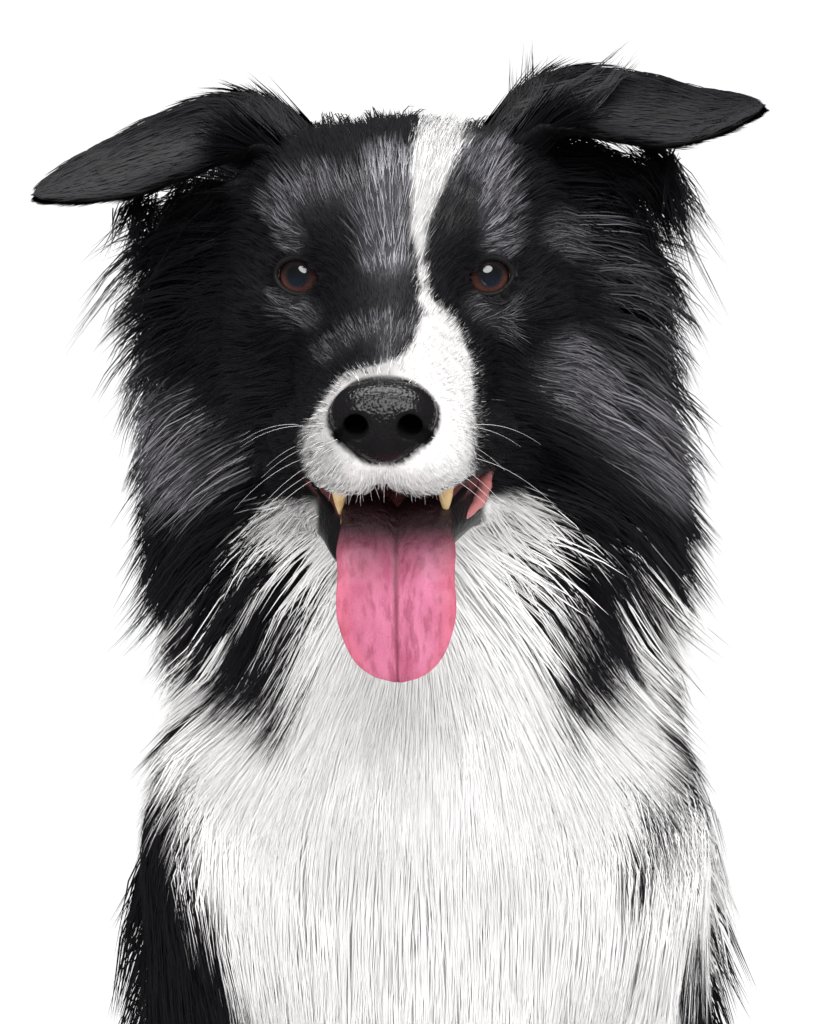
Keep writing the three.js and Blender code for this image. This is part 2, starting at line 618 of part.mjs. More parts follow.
// Roots in staggered rows round a line of stations. own(p) tells whether a root may stand at p.
function rootsRound(skin, station, { rows, columns, reach, seed, own }) {
  const random = seeded(seed);
  const roots = [];
  for (let i = 0; i < rows; i++)
    for (let j = 0; j < columns; j++) {
      const { point, way } = station((i + 0.4 + 0.25 * (random() - 0.5)) / rows);
      const turn = ((j + (i % 2) / 2 + 0.25 * (random() - 0.5)) / columns) * 360;
      const root = skin.surface(point, wayOut(way, turn), reach);
      const vary = () => 0.88 + 0.24 * random();
      const flare = mix(1.4, 0.7, i / (rows - 1));
      roots.push({ root, layer: (i + j) % 2, length: vary(), width: vary(), flare });
    }
  return roots.filter(({ root }) => own(root));
}
const between = (a, b) => (u) => ({
  point: a.point.clone().lerp(b.point, u),
  way: a.way.clone().lerp(b.way, u).normalize(),
});
const along = (points) => {
  const curve = new THREE.CatmullRomCurve3(points);
  return (u) => ({ point: curve.getPointAt(u), way: curve.getTangentAt(u) });
};

// The locks of a coat that grow from roots, plain or grown.
const tress = (skin, roots, size, grow) => roots.map(({ root, layer, length, width, flare = 1 }) =>
  lock(skin, root, {
    ...size,
    length: size.length * length,
    width: size.width * width,
    lift: size.lift + layer * LAYER,
    flare: size.flare * flare,
  }, grow));

// How far p lies beyond a cut.
const past = (name, p) => p.clone().sub(CUTS[name].point).dot(CUTS[name].way.clone().normalize());
const beside = (p) => Math.abs(p.x) > 60 && p.z < 250;

const COAT = {
  head: {
    roots: both((s) => CHEEK_ROWS.flatMap(([y, turns], i) => turns.map((turn, j) => {
      const way = onHead(s * Math.cos(rad(turn)), 0, Math.sin(rad(turn))).sub(onHead(0, 0, 0));
      const root = UPPER_HEAD.surface(onHead(0, y, -8), way, 120);
      return { root, layer: (i + j) % 2, length: 1 - 0.1 * (j % 3), width: 1 };
    }))).filter(({ root }) => past("neck", root) < -3),
    size: { length: 76, width: 28, thick: 4.5, lift: 3, flare: 24 },
    skin: BODY,
  },
  neck: {
    roots: rootsRound(BODY, between(CUTS.neck, CUTS.chest),
      { rows: 2, columns: 11, reach: 170, seed: 12,
        own: (p) => past("neck", p) > 2 && past("chest", p) < -5 }),
    size: { length: 88, width: 50, thick: 4.5, lift: 2, flare: 16 },
    skin: BODY,
  },
  chest: {
    roots: rootsRound(BODY, between(CUTS.chest, CUTS.trunk),
      { rows: 3, columns: 9, reach: 200, seed: 23,
        own: (p) => past("chest", p) > 2 && past("trunk", p) < -8 && p.z > 238 && !beside(p) }),
    size: { length: 114, width: 60, thick: 4.5, lift: 1, flare: 13 },
    skin: BODY,
  },
  trunk: {
    roots: rootsRound(BODY, between(CUTS.trunk, CUTS.tail),
      { rows: 2, columns: 9, reach: 180, seed: 37,
        own: (p) => past("trunk", p) > 3 && past("tail", p) < -6 && p.z > 40 && !beside(p)
          && !(p.y < 150 && p.z < 200) }),
    size: { length: 118, width: 56, thick: 4.5, lift: 1, flare: 10 },
    skin: BODY,
  },
  tail_base: {
    roots: rootsRound(BODY, along(TAIL_PATH.slice(0, 4)), { rows: 2, columns: 6, reach: 60, seed: 41,
      own: (p) => past("tail", p) > 3 && past("tailTip", p) < -3 && p.z > 12 }),
    size: { length: 88, width: 25, thick: 4, lift: 3, flare: 9, lieOf: lieOfTail },
    skin: TAIL,
  },
  tail_tip: {
    roots: rootsRound(BODY, along(TAIL_PATH.slice(3, 6)), { rows: 2, columns: 3, reach: 60, seed: 43,
      own: (p) => past("tailTip", p) > 3 && p.z > 8 }),
    size: { length: 70, width: 28, thick: 4, lift: 3, flare: 8, lieOf: lieOfTail },
    skin: TAIL,
  },
};
// Feathering behind the forearm and the breeches behind the thigh.
for (const [side, s] of Object.entries(SIDES)) {
  COAT[`foreleg_${side}`] = {
    roots: [230, 205, 180, 155, 130].flatMap((z, i) => {
      const u = (262 - z) / (262 - 88);
      const centre = joint("elbow", s).lerp(joint("wrist", s), u);
      return (i % 2 ? [75, 105] : [90]).map((turn, j) => ({
        root: BODY.surface(centre, vec(s * Math.cos(rad(turn)), Math.sin(rad(turn)), 0), 70),
        layer: (i + j) % 2, length: 1 - 0.09 * i, width: 1 }));
    }).filter(({ root }) => past("elbow", root) > 3),
    size: { length: 62, width: 16, thick: 4, lift: 4, flare: 14 },
    skin: BODY,
  };
  COAT[`thigh_${side}`] = {
    roots: rootsRound(BODY, along([vec(s * 82, 70, 176), vec(s * 80, 240, 112)]),
      { rows: 2, columns: 8, reach: 150, seed: s < 0 ? 51 : 53,
        own: (p) => Math.abs(p.x) > 68 && p.z < 238 && p.z > 62 && p.y > 10 }),
    size: { length: 84, width: 48, thick: 4.5, lift: 1, flare: 9 },
    skin: BODY,
  };
}
function locksOf(name, grow = 0) {
  const coat = COAT[name];
  return joined(tress(coat.skin, coat.roots, coat.size, grow));
}

// ---------------------------------------------------------------- the nodes
const group = new THREE.Group();
function addNode(name, solid, colour, roughness) {
  const mesh = largest(rebuilt(largest(solid))).getMesh();
  const n = mesh.numProp;
  const positions = new Float32Array(mesh.numVert * 3);
  for (let i = 0; i < mesh.numVert; i++)
    positions.set(mesh.vertProperties.subarray(i * n, i * n + 3), i * 3);
  const geometry = new THREE.BufferGeometry()
    .setAttribute("position", new THREE.BufferAttribute(positions, 3))
    .setIndex(new THREE.BufferAttribute(new Uint32Array(mesh.triVerts), 1));
  geometry.computeVertexNormals();
  const material = new THREE.MeshStandardMaterial({ color: colour, roughness, metalness: 0 });
  const node = new THREE.Mesh(geometry, material);
  node.name = name;
  group.add(node);
}

const COLOURS = { black: 0x141316, white: 0xe4e2df, nose: 0x1b191b, eye: 0x653c2a, tongue: 0xd8769b };
const eyeSockets = joined(both((s) => [eyeball(s, 0.4)]));
const lids = joined(both((s) => [eyeball(s, 2.2)])).subtract(eyeSockets);
const openings = joined(both((s) => [lidOpening(s)]));
const ears = joined(both((s) => [earSolid(s, 0.5), earLocks(s, "wisps", GROWN)]));
const face = flesh.head(0).add(lids).subtract(eyeSockets).subtract(openings).subtract(nosePad(0.5))
  .subtract(tongueSolid(0.5)).add(upperTeeth());
const cheeks = joined([locksOf("head"), ...both((s) => [earLocks(s, "fringe")])]).subtract(ears);
addNode("head", face.add(cheeks), COLOURS.black, 0.6);
const upperJaw = flesh.head(NEAR).add(upperTeeth(0.5));
addNode("jaw", flesh.jaw(0).add(lowerTeeth()).subtract(upperJaw).subtract(tongueSolid(0.5))
  .subtract(locksOf("head", GROWN)), COLOURS.black, 0.6);
addNode("nose", nosePad().subtract(joined(both((s) => [nostril(s)]))), COLOURS.nose, 0.3);
addNode("tongue", tongueSolid(), COLOURS.tongue, 0.35);
for (const [side, s] of Object.entries(SIDES)) {
  addNode(`eye_${side}`, eyeball(s), COLOURS.eye, 0.05);
  const ear = earSolid(s).add(earLocks(s, "wisps"));
  addNode(`ear_${side}`, ear.subtract(flesh.head(NEAR)), COLOURS.black, 0.6);
}

// A node of coated flesh: its locks stay on its side of the cut, and it is carved clear of the coats that
// lie over it.
function coated(name, solid, side, over) {
  const whole = solid.add(trimmed(locksOf(name), side, LOCKS_ABOVE));
  return over.reduce((rest, upper) => rest.subtract(locksOf(upper, GROWN)), whole);
}
addNode("neck", coated("neck", flesh.neck(0), after("neck"), ["head"]), COLOURS.black, 0.6);
addNode("chest", coated("chest", flesh.chest(0), after("chest"), ["head", "neck"]), COLOURS.white, 0.6);
addNode("trunk", coated("trunk", flesh.trunk(0), after("trunk"), ["chest"]), COLOURS.black, 0.6);
for (const [side, s] of Object.entries(SIDES)) {
  const low = beyond(vec(0, 0, 232 - GAP), vec(0, 0, -1));
  const arm = coated(`foreleg_${side}`, foreleg(s, 0), low, ["chest"]);
  addNode(`foreleg_${side}`, arm, COLOURS.white, 0.6);
  const front = joined([forePaw(s, 0), ...claws(joint("knuckle", s), joint("toes", s), s)]);
  addNode(`forepaw_${side}`, front.subtract(locksOf(`foreleg_${side}`, GROWN)), COLOURS.white, 0.6);
  const upper = coated(`thigh_${side}`, haunch(s, 0), after(s < 0 ? "haunchRight" : "haunchLeft"),
    ["chest", "trunk", `foreleg_${side}`]);
  addNode(`thigh_${side}`, upper.subtract(flesh.chest(NEAR)).subtract(foreleg(s, NEAR)),
    COLOURS.black, 0.6);
  const rear = joined([hindFoot(s, 0), ...claws(joint("hindKnuckle", s), joint("hindToes", s), s)]);
  const clear = rear.subtract(locksOf(`thigh_${side}`, GROWN)).subtract(locksOf("trunk", GROWN));
  addNode(`hindfoot_${side}`, clear, COLOURS.white, 0.6);
}
const tailFlesh = { base: tailLength(0, 3).intersect(before("tailTip")), tip: tailLength(3, 5) };
addNode("tail_base", coated("tail_base", tailFlesh.base, after("tail"), ["trunk"]), COLOURS.black, 0.6);
addNode("tail_tip", coated("tail_tip", tailFlesh.tip.intersect(after("tailTip")), after("tailTip"),
  ["tail_base"]), COLOURS.white, 0.6);

const box = new THREE.Box3().setFromObject(group);
group.position.set(-(box.min.x + box.max.x) / 2, -(box.min.y + box.max.y) / 2, 0);
export default group;
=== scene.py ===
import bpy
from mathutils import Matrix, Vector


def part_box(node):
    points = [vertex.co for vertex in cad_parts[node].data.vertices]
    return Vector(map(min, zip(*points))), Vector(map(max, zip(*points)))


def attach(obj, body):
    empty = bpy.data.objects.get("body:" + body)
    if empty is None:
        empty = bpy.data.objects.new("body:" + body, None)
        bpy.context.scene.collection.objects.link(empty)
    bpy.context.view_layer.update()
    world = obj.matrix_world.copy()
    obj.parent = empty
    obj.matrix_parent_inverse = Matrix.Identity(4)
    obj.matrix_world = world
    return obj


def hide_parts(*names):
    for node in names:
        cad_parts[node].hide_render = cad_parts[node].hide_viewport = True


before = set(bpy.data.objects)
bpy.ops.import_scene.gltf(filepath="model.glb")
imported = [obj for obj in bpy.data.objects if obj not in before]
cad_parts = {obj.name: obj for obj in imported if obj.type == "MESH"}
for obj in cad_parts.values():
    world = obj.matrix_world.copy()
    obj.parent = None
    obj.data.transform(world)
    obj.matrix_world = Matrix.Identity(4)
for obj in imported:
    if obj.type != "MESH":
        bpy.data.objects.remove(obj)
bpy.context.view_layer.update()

"""A sitting sheepdog with a long black and white coat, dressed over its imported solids.

Lengths are in millimetres of the dog's own frame until a mesh is made: +Z is up, the dog faces -Y and its
left side is +X. Places on the head are measured from the point midway between the pupils.
"""
import logging
from dataclasses import dataclass, field
from enum import Enum
from typing import Callable, Iterable, Sequence

import bpy
import numpy as np

MM = 0.001
Array = np.ndarray
log = logging.getLogger("sheepdog")

# ------------------------------------------------------------------------------------------- driving sizes
EYE_LEVEL = 572.0
EYE_REACH = 165.0
EYE_OFFSET = -12.0
HEAD_YAW = -2.0
EYE_SPREAD = 33.5
EYE_SETBACK = 8.5
EYEBALL = 11.0
LID = 1.5  # the thickness of skin over an eyeball
SOCKET_GAP = 0.2  # the play between an eyeball and its socket
CORE = 0.45  # the skin lies under this share of the coat's core
SOLE_GAP = 0.2  # soles end this far over the floor
HAIR_GAP = 0.8  # and hair this far


class Side(Enum):
    """The dog's own sides, with the sign of X."""

    RIGHT = -1
    LEFT = 1


# ------------------------------------------------------------------------------------------------- helpers
def smoothstep(x: Array | float, low: float, high: float) -> Array:
    """Rises smoothly from 0 at low to 1 at high."""
    t = np.clip((np.asarray(x, float) - low) / (high - low), 0.0, 1.0)
    return t * t * (3.0 - 2.0 * t)


def unit(v: Array) -> Array:
    """Vectors of length 1."""
    return v / (np.linalg.norm(v, axis=-1, keepdims=True) + 1e-12)


def blend(a: Array, b: Array, t: Array | float) -> Array:
    """The mix of a and b at share t of b."""
    return a + (b - a) * t


def spline(points: Sequence[Sequence[float]], at: Array) -> Array:
    """A smooth curve through points.

    Each stretch is a Catmull-Rom cubic, whose tangent at a point is half the step between its neighbours.

    Args:
        points: The points that the curve passes through.
        at: Places along it, from 0 to 1.

    Returns:
        One point for each place.
    """
    knots = np.asarray(points, float)
    padded = np.vstack([2 * knots[0] - knots[1], knots, 2 * knots[-1] - knots[-2]])
    scaled = np.clip(np.asarray(at, float), 0.0, 1.0) * (len(knots) - 1)
    i = np.minimum(scaled.astype(int), len(knots) - 2)
    t = (scaled - i)[..., None]
    p0, p1, p2, p3 = padded[i], padded[i + 1], padded[i + 2], padded[i + 3]
    return 0.5 * (2 * p1 + (p2 - p0) * t + (2 * p0 - 5 * p1 + 4 * p2 - p3) * t**2
                  + (3 * p1 - p0 - 3 * p2 + p3) * t**3)


def ripple(p: Array, scale: float, seed: float = 0.0) -> Array:
    """Smooth noise from about -1 to 1: a sum of sine waves in skewed directions, of wavelength scale."""
    k = 2 * np.pi / scale
    x, y, z = p[..., 0] + 17.0 * seed, p[..., 1] - 29.0 * seed, p[..., 2] + 11.0 * seed
    return (np.sin(k * (0.83 * x + 0.41 * y - 0.37 * z)) * np.sin(k * (0.29 * x - 0.71 * y + 0.64 * z) + 1.3)
            + 0.6 * np.sin(k * (1.7 * x - 0.9 * y + 1.1 * z) + 2.1)
            * np.sin(k * (-0.8 * x + 1.6 * y + 1.3 * z) + 0.4))


YAW_COS, YAW_SIN = np.cos(np.radians(HEAD_YAW)), np.sin(np.radians(HEAD_YAW))
HEAD_TURN = np.array([[YAW_COS, -YAW_SIN, 0.0], [YAW_SIN, YAW_COS, 0.0], [0.0, 0.0, 1.0]])
HEAD_AT = np.array([EYE_OFFSET, -EYE_REACH, EYE_LEVEL])


def on_head(*place: float) -> Array:
    """A place on the head in the dog's frame. Takes x, y, z, or one array of places."""
    p = np.asarray(place[0] if len(place) == 1 else place, float)
    return p @ HEAD_TURN.T + HEAD_AT


def from_head(p: Array) -> Array:
    """The head's own coordinates of places in the dog's frame."""
    return (p - HEAD_AT) @ HEAD_TURN


def eye_centre(side: Side) -> Array:
    """The centre of one eyeball."""
    return on_head(side.value * EYE_SPREAD, EYE_SETBACK, 0.0)


def measured_shift() -> Array:
    """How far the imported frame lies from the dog's own, read from the boxes of the two eyes."""
    corners = np.array([[tuple(c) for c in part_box(f"eye_{s.name.lower()}")] for s in Side])
    return corners.mean(axis=(0, 1)) / MM - (eye_centre(Side.LEFT) + eye_centre(Side.RIGHT)) / 2


SHIFT = measured_shift()


def placed(p: Array) -> Array:
    """Places of the dog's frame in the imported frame, in metres."""
    return (p + SHIFT) * MM


# ------------------------------------------------------------------------------------------ lumps of flesh
@dataclass(frozen=True)
class Lump:
    """A rounded mass: fur is the thickness of coat or coat core over it, hair the length of the hair on it,
    and soft how widely it melts into the rest."""

    fur: float
    hair: float
    soft: float

    def distance(self, p: Array) -> Array:
        """The distance from its surface, negative inside."""
        raise NotImplementedError


@dataclass(frozen=True)
class Limb(Lump):
    """A tapered capsule from a to b."""

    a: Array
    b: Array
    ra: float
    rb: float

    def distance(self, p: Array) -> Array:
        """The distance to a cone frustum that is rounded at both ends by its spheres."""
        ba = self.b - self.a
        l2 = ba @ ba
        rr = self.ra - self.rb
        a2 = l2 - rr * rr
        pa = p - self.a
        along = pa @ ba
        past = along - l2
        across = pa * l2 - ba * along[..., None]
        x2 = np.einsum("...i,...i->...", across, across)
        y2, z2 = along * along * l2, past * past * l2
        k = np.sign(rr) * rr * rr * x2
        over = np.sqrt(x2 + z2) / l2 - self.rb
        under = np.sqrt(x2 + y2) / l2 - self.ra
        middle = (np.sqrt(x2 * a2 / l2) + along * rr) / l2 - self.ra
        lower = np.where(np.sign(along) * a2 * y2 < k, under, middle)
        return np.where(np.sign(past) * a2 * z2 > k, over, lower)


@dataclass(frozen=True)
class Muscle(Lump):
    """An ellipsoid with three radii, tipped about X."""

    centre: Array
    radii: Sequence[float]
    tip: float = 0.0

    def distance(self, p: Array) -> Array:
        """The scaled length of the place over that of its gradient, near the true distance close by."""
        c, s = np.cos(np.radians(self.tip)), np.sin(np.radians(self.tip))
        q = p - self.centre
        q = np.stack([q[..., 0], q[..., 1] * c + q[..., 2] * s, q[..., 2] * c - q[..., 1] * s], axis=-1)
        r = np.asarray(self.radii, float)
        k0 = np.linalg.norm(q / r, axis=-1)
        k1 = np.linalg.norm(q / r**2, axis=-1) + 1e-9
        return k0 * (k0 - 1.0) / k1


@dataclass(frozen=True)
class Flesh:
    """Lumps blended into one body."""

    lumps: Sequence[Lump]

    def sample(self, p: Array) -> tuple[Array, Array, Array]:
        """The blended distance at p, and the thickness of fur and the length of hair there.

        Distances join by a smooth minimum, with a fillet of each lump's softness. Fur and hair are means
        weighted by the inverse cube of each lump's distance.

        Args:
            p: Places in the dog's frame.

        Returns:
            Distance from the blended masses, fur thickness and hair length.
        """
        d = np.full(p.shape[:-1], 1e9)
        weights, fur, hair = np.zeros_like(d), np.zeros_like(d), np.zeros_like(d)
        for lump in self.lumps:
            own = lump.distance(p)
            w = 1.0 / (np.maximum(own, 0.0) + 5.0) ** 3
            weights += w
            fur += w * lump.fur
            hair += w * lump.hair
            h = np.maximum(lump.soft - np.abs(d - own), 0.0) / lump.soft if lump.soft > 0 else 0.0
            d = np.minimum(d, own) - h * h * lump.soft / 4.0
        return d, fur / weights, hair / weights

    def skin(self, p: Array) -> Array:
        """The distance from the skin, which lies under part of the coat's core."""
        d, fur, _ = self.sample(p)
        return d - CORE * fur


def mirrored(make: Callable[[int], list[Lump]]) -> list[Lump]:
    """The lumps of both sides."""
    return make(Side.RIGHT.value) + make(Side.LEFT.value)


@dataclass(frozen=True)
class Anatomy:
    """The dog's masses and its landmarks."""

    withers: Array = field(default_factory=lambda: np.array([0.0, -4.0, 482.0]))
    croup: Array = field(default_factory=lambda: np.array([0.0, 262.0, 150.0]))
    tail_path: Array = field(default_factory=lambda: np.array([
        [0.0, 272, 72], [2, 322, 38], [14, 380, 27], [46, 434, 24], [94, 470, 22], [150, 482, 19]]))
    tail_radii: tuple[float, ...] = (26, 19, 15, 12.5, 10.5, 8)
    joints: dict[str, tuple[float, float, float]] = field(default_factory=lambda: {
        "shoulder": (58, -114, 356), "elbow": (68, -62, 262), "wrist": (58, -94, 88),
        "knuckle": (57, -114, 34), "toes": (57, -142, 16), "hip": (58, 214, 160), "knee": (102, 62, 190),
        "hock": (98, 226, 26), "hind_knuckle": (104, 96, 19), "hind_toes": (106, 62, 15)})

    def joint(self, name: str, s: int) -> Array:
        """The place of a joint on side s."""
        x, y, z = self.joints[name]
        return np.array([s * x, y, z], float)

    def head(self) -> list[Lump]:
        """Skull, face and upper jaw."""
        h = on_head
        return [
            Muscle(8, 17, 0, h(0, 60, 9), (47, 64, 43)),
            Muscle(6, 11, 12, h(0, 20, 15), (35, 33, 30)),
            Limb(3, 7, 12, h(0, 2, -12), h(0, -78, -44), 25, 13.5),
            *mirrored(lambda s: [
                Muscle(5, 9, 8, h(s * 25, 9, 17), (16, 14, 11)),
                Muscle(8, 19, 14, h(s * 36, 62, 20), (22, 40, 26)),
                Muscle(6, 15, 14, h(s * 42, 38, -12), (18, 36, 19)),
                Muscle(9, 24, 16, h(s * 40, 52, -38), (20, 34, 30)),
                Muscle(14, 62, 14, h(s * 46, 84, 2), (24, 24, 40)),
                Limb(3, 7, 10, h(s * 12, 0, -34), h(s * 11, -70, -54), 22, 15),
                Muscle(3, 6, 6, h(s * 13, -73, -58), (15, 20, 15)),
                Limb(3, 6, 6, h(s * 19, -62, -62), h(s * 33, -8, -58), 8, 10),
            ]),
        ]

    def neck(self) -> list[Lump]:
        """Nape, throat and the ruff at either side."""
        v = np.array
        return [
            Limb(38, 72, 22, on_head(0, 84, -8), v([0.0, -58, 430]), 48, 48),
            Limb(30, 78, 20, on_head(0, 40, -52), v([0.0, -92, 410]), 34, 48),
            *mirrored(lambda s: [
                Limb(22, 92, 22, on_head(s * 46, 86, -22), v([s * 34.0, -74, 440]), 30, 36)]),
        ]

    def paw(self, knuckle: Array, toes: Array, s: int) -> list[Lump]:
        """The pad with four toes spread in a low arch in front of it."""
        middle = blend(knuckle, toes, 0.35)
        middle[2] = 17.0
        lumps: list[Lump] = [Muscle(3, 7, 8, middle, (23, 26, 17))]
        for spread in (-1.5, -0.5, 0.5, 1.5):
            centre = toes + np.array([spread * 11 * s, abs(spread) * 9 - 6, -3])
            lumps.append(Muscle(2.5, 6, 4, centre, (7.5, 14, 11.5)))
        return lumps

    def trunk(self) -> list[Lump]:
        """Ribs, back, belly, rump and breastbone."""
        v, w, c = np.array, self.withers, self.croup
        return [
            Muscle(18, 62, 30, v([0.0, -52, 352]), (74, 88, 96), -30),
            Muscle(14, 58, 30, v([0.0, 34, 330]), (82, 104, 88), -42),
            Limb(14, 58, 30, w + v([0, 22, -34]), v([0.0, 196, 214]), 34, 44),
            Muscle(13, 60, 30, v([0.0, 132, 252]), (72, 92, 74), -45),
            Muscle(12, 64, 30, c + v([0, -46, -54]), (80, 82, 92)),
            Limb(22, 92, 26, v([0.0, -126, 388]), v([0.0, -104, 300]), 34, 40),
        ]

    def legs(self) -> list[Lump]:
        """Both fore and both hind legs, with their paws."""
        def side(s: int) -> list[Lump]:
            """The legs of side s."""
            j, v = (lambda name: self.joint(name, s)), np.array
            return [
                Limb(14, 62, 24, j("shoulder"), v([s * 26.0, -6, 462]), 33, 24),
                Limb(14, 52, 18, j("shoulder"), j("elbow"), 34, 30),
                Limb(6, 16, 12, j("elbow"), j("wrist"), 25, 16),
                Limb(4, 9, 8, j("wrist"), j("knuckle"), 17, 18),
                Muscle(13, 58, 24, v([s * 85.0, 178, 132]), (52, 84, 84), -20),
                Limb(12, 56, 22, j("hip"), j("knee"), 56, 41),
                Limb(9, 34, 16, j("knee"), j("hock"), 36, 19),
                Limb(4, 10, 10, j("hock"), j("hind_knuckle"), 17, 17),
                *self.paw(j("knuckle"), j("toes"), s),
                *self.paw(j("hind_knuckle"), j("hind_toes"), s),
            ]
        return mirrored(side)

    def tail(self) -> list[Lump]:
        """The tail in tapered lengths."""
        ends = zip(self.tail_path, self.tail_path[1:], self.tail_radii, self.tail_radii[1:])
        return [Limb(5, 78, 8, a, b, ra, rb) for a, b, ra, rb in ends]

    def jaw(self) -> list[Lump]:
        """Lower jaw and chin, dropped open."""
        h = on_head
        return [
            Muscle(3, 7, 8, h(0, -50, -95), (15, 15, 10)),
            Limb(6, 13, 12, h(0, -40, -92), h(0, 34, -80), 13, 26),
            *mirrored(lambda s: [
                Limb(3, 7, 8, h(s * 11, -50, -91), h(s * 27, 6, -74), 9, 13),
                Limb(6, 14, 10, h(s * 27, 6, -74), h(s * 34, 48, -58), 13, 18)]),
        ]


ANATOMY = Anatomy()
UPPER = Flesh(ANATOMY.head() + ANATOMY.neck() + ANATOMY.trunk() + ANATOMY.legs() + ANATOMY.tail())
JAW = Flesh(ANATOMY.jaw() + ANATOMY.neck()[1:2])
NOSE = Flesh([
    Muscle(0, 0, 0, on_head(0, -88, -45.5), (16, 11, 10.5)),
    *mirrored(lambda s: [Muscle(0, 0, 6, on_head(s * 10, -89, -49), (8, 9.5, 9.5))]),
    Muscle(0, 0, 7, on_head(0, -89.5, -55.5), (11, 7.5, 8.2)),
])

NOSTRIL_HOLES = mirrored(
    lambda s: [Limb(0, 0, 0, on_head(s * 9.0, -104, -51.5), on_head(s * 9.6, -87, -50), 4.6, 3.6)])
NOSTRIL_SLITS = mirrored(
    lambda s: [Limb(0, 0, 0, on_head(s * 11, -102, -53.5), on_head(s * 20, -88, -56.5), 2.6, 1.6)])


@dataclass(frozen=True)
class EyeOpening:
    """The almond between the lids, in the eye's own frame: across points outwards, gaze to the front."""

    side: Side
    half_width: float = 8.3
    upper: float = 6.6
    lower: float = 6.3
    outward: float = 9.0

    def axes(self) -> tuple[Array, Array, Array]:
        """The directions across, up and along the gaze."""
        s, t = self.side.value, np.radians(self.outward)
        across = HEAD_TURN @ np.array([s * np.cos(t), np.sin(t), 0.0])
        gaze = HEAD_TURN @ np.array([s * np.sin(t), -np.cos(t), 0.0])
        return across, np.array([0.0, 0.0, 1.0]), gaze

    def local(self, p: Array) -> Array:
        """Coordinates across, up and along the gaze, from the eye's centre."""
        return (p - eye_centre(self.side)) @ np.stack(self.axes()).T

    def height(self, x: Array, up: bool) -> Array:
        """Half the opening's height at x: the full height times (1 - |x / half width|^2.2)."""
        return (self.upper if up else self.lower) * np.maximum(1 - np.abs(x / self.half_width) ** 2.2, 0.0)

    def carve(self, p: Array) -> Array:
        """The signed distance, negative in the opening, of the almond pushed along the gaze."""
        x, z, depth = np.moveaxis(self.local(p), -1, 0)
        z = z - 0.07 * x
        gap = np.where(z > 0, z - self.height(x, True), -z - self.height(x, False)) * 0.8
        return np.maximum(np.maximum(gap, np.abs(x) - self.half_width), 2.0 - depth)

    def rim(self, count: int, radius: float, grow: float = 0.0) -> Array:
        """Points round the almond on a sphere of the given radius about the eye's centre."""
        t = np.linspace(0.0, 2 * np.pi, count, endpoint=False)
        x = (self.half_width + grow) * np.cos(t)
        half = np.where(np.sin(t) > 0, self.upper, self.lower) + grow
        z = half * np.sign(np.sin(t)) * np.abs(np.sin(t)) ** 1.15 + 0.07 * x
        depth = np.sqrt(np.maximum(radius**2 - x**2 - z**2, 1.0))
        return eye_centre(self.side) + np.stack([x, z, depth], axis=-1) @ np.stack(self.axes())


EYES = {side: EyeOpening(side) for side in Side}


def smooth_min(a: Array, b: Array, k: float) -> Array:
    """The lesser of a and b with a fillet of width k."""
    h = np.maximum(k - np.abs(a - b), 0.0) / k
    return np.minimum(a, b) - h * h * k / 4.0


def nostrils(p: Array) -> Array:
    """The distance from the nostrils, each a round hole that runs back and a slit that runs out from it."""
    pairs = (NOSTRIL_HOLES, NOSTRIL_SLITS)
    holes, slits = (np.min([limb.distance(p) for limb in pair], axis=0) for pair in pairs)
    return smooth_min(holes, slits, 2.0)


def coat_distance(p: Array) -> Array:
    """The signed distance from what the coat grows on: body and jaw joined, with lids over the eyes."""
    d = smooth_min(UPPER.skin(p), JAW.skin(p), 3.0)
    for side in Side:
        d = smooth_min(d, np.linalg.norm(p - eye_centre(side), axis=-1) - (EYEBALL + LID), 4.0)
    return d


def skin_distance(p: Array) -> Array:
    """The signed distance from the whole skin, with the eyes' sockets and openings carved out."""
    d = coat_distance(p)
    for side, opening in EYES.items():
        d = np.maximum(d, (EYEBALL + SOCKET_GAP) - np.linalg.norm(p - eye_centre(side), axis=-1))
        d = np.maximum(d, -opening.carve(p))
    return np.maximum(d, np.minimum(0.8 - nostrils(p), 0.6 - NOSE.skin(p)))


def beside_eyes(p: Array) -> Array:
    """The distance from the nearer eye's opening."""
    return np.min([opening.carve(p) for opening in EYES.values()], axis=0)


def on_lower_lip(p: Array) -> Array:
    """The share of bare black lip: the outer side of the lower jaw in front of the corners of the mouth."""
    x, y, z = np.moveaxis(from_head(p), -1, 0)
    owned = smoothstep(UPPER.skin(p) - JAW.skin(p), -0.5, 0.5)
    reach = np.where(x > 0, 33.5, 26.0) - np.abs(x)
    return owned * smoothstep(-y, -2.0, 5.0) * smoothstep(z, -106.0, -99.0) * smoothstep(reach, -1.5, 1.5)


def gradient(distance: Callable[[Array], Array], p: Array, step: float = 0.7) -> Array:
    """The outward direction at p, from the distances at the corners of a small tetrahedron."""
    corners = np.array([[1, 1, 1], [1, -1, -1], [-1, 1, -1], [-1, -1, 1]], float)
    return unit(sum(c * distance(p + step * c)[..., None] for c in corners))


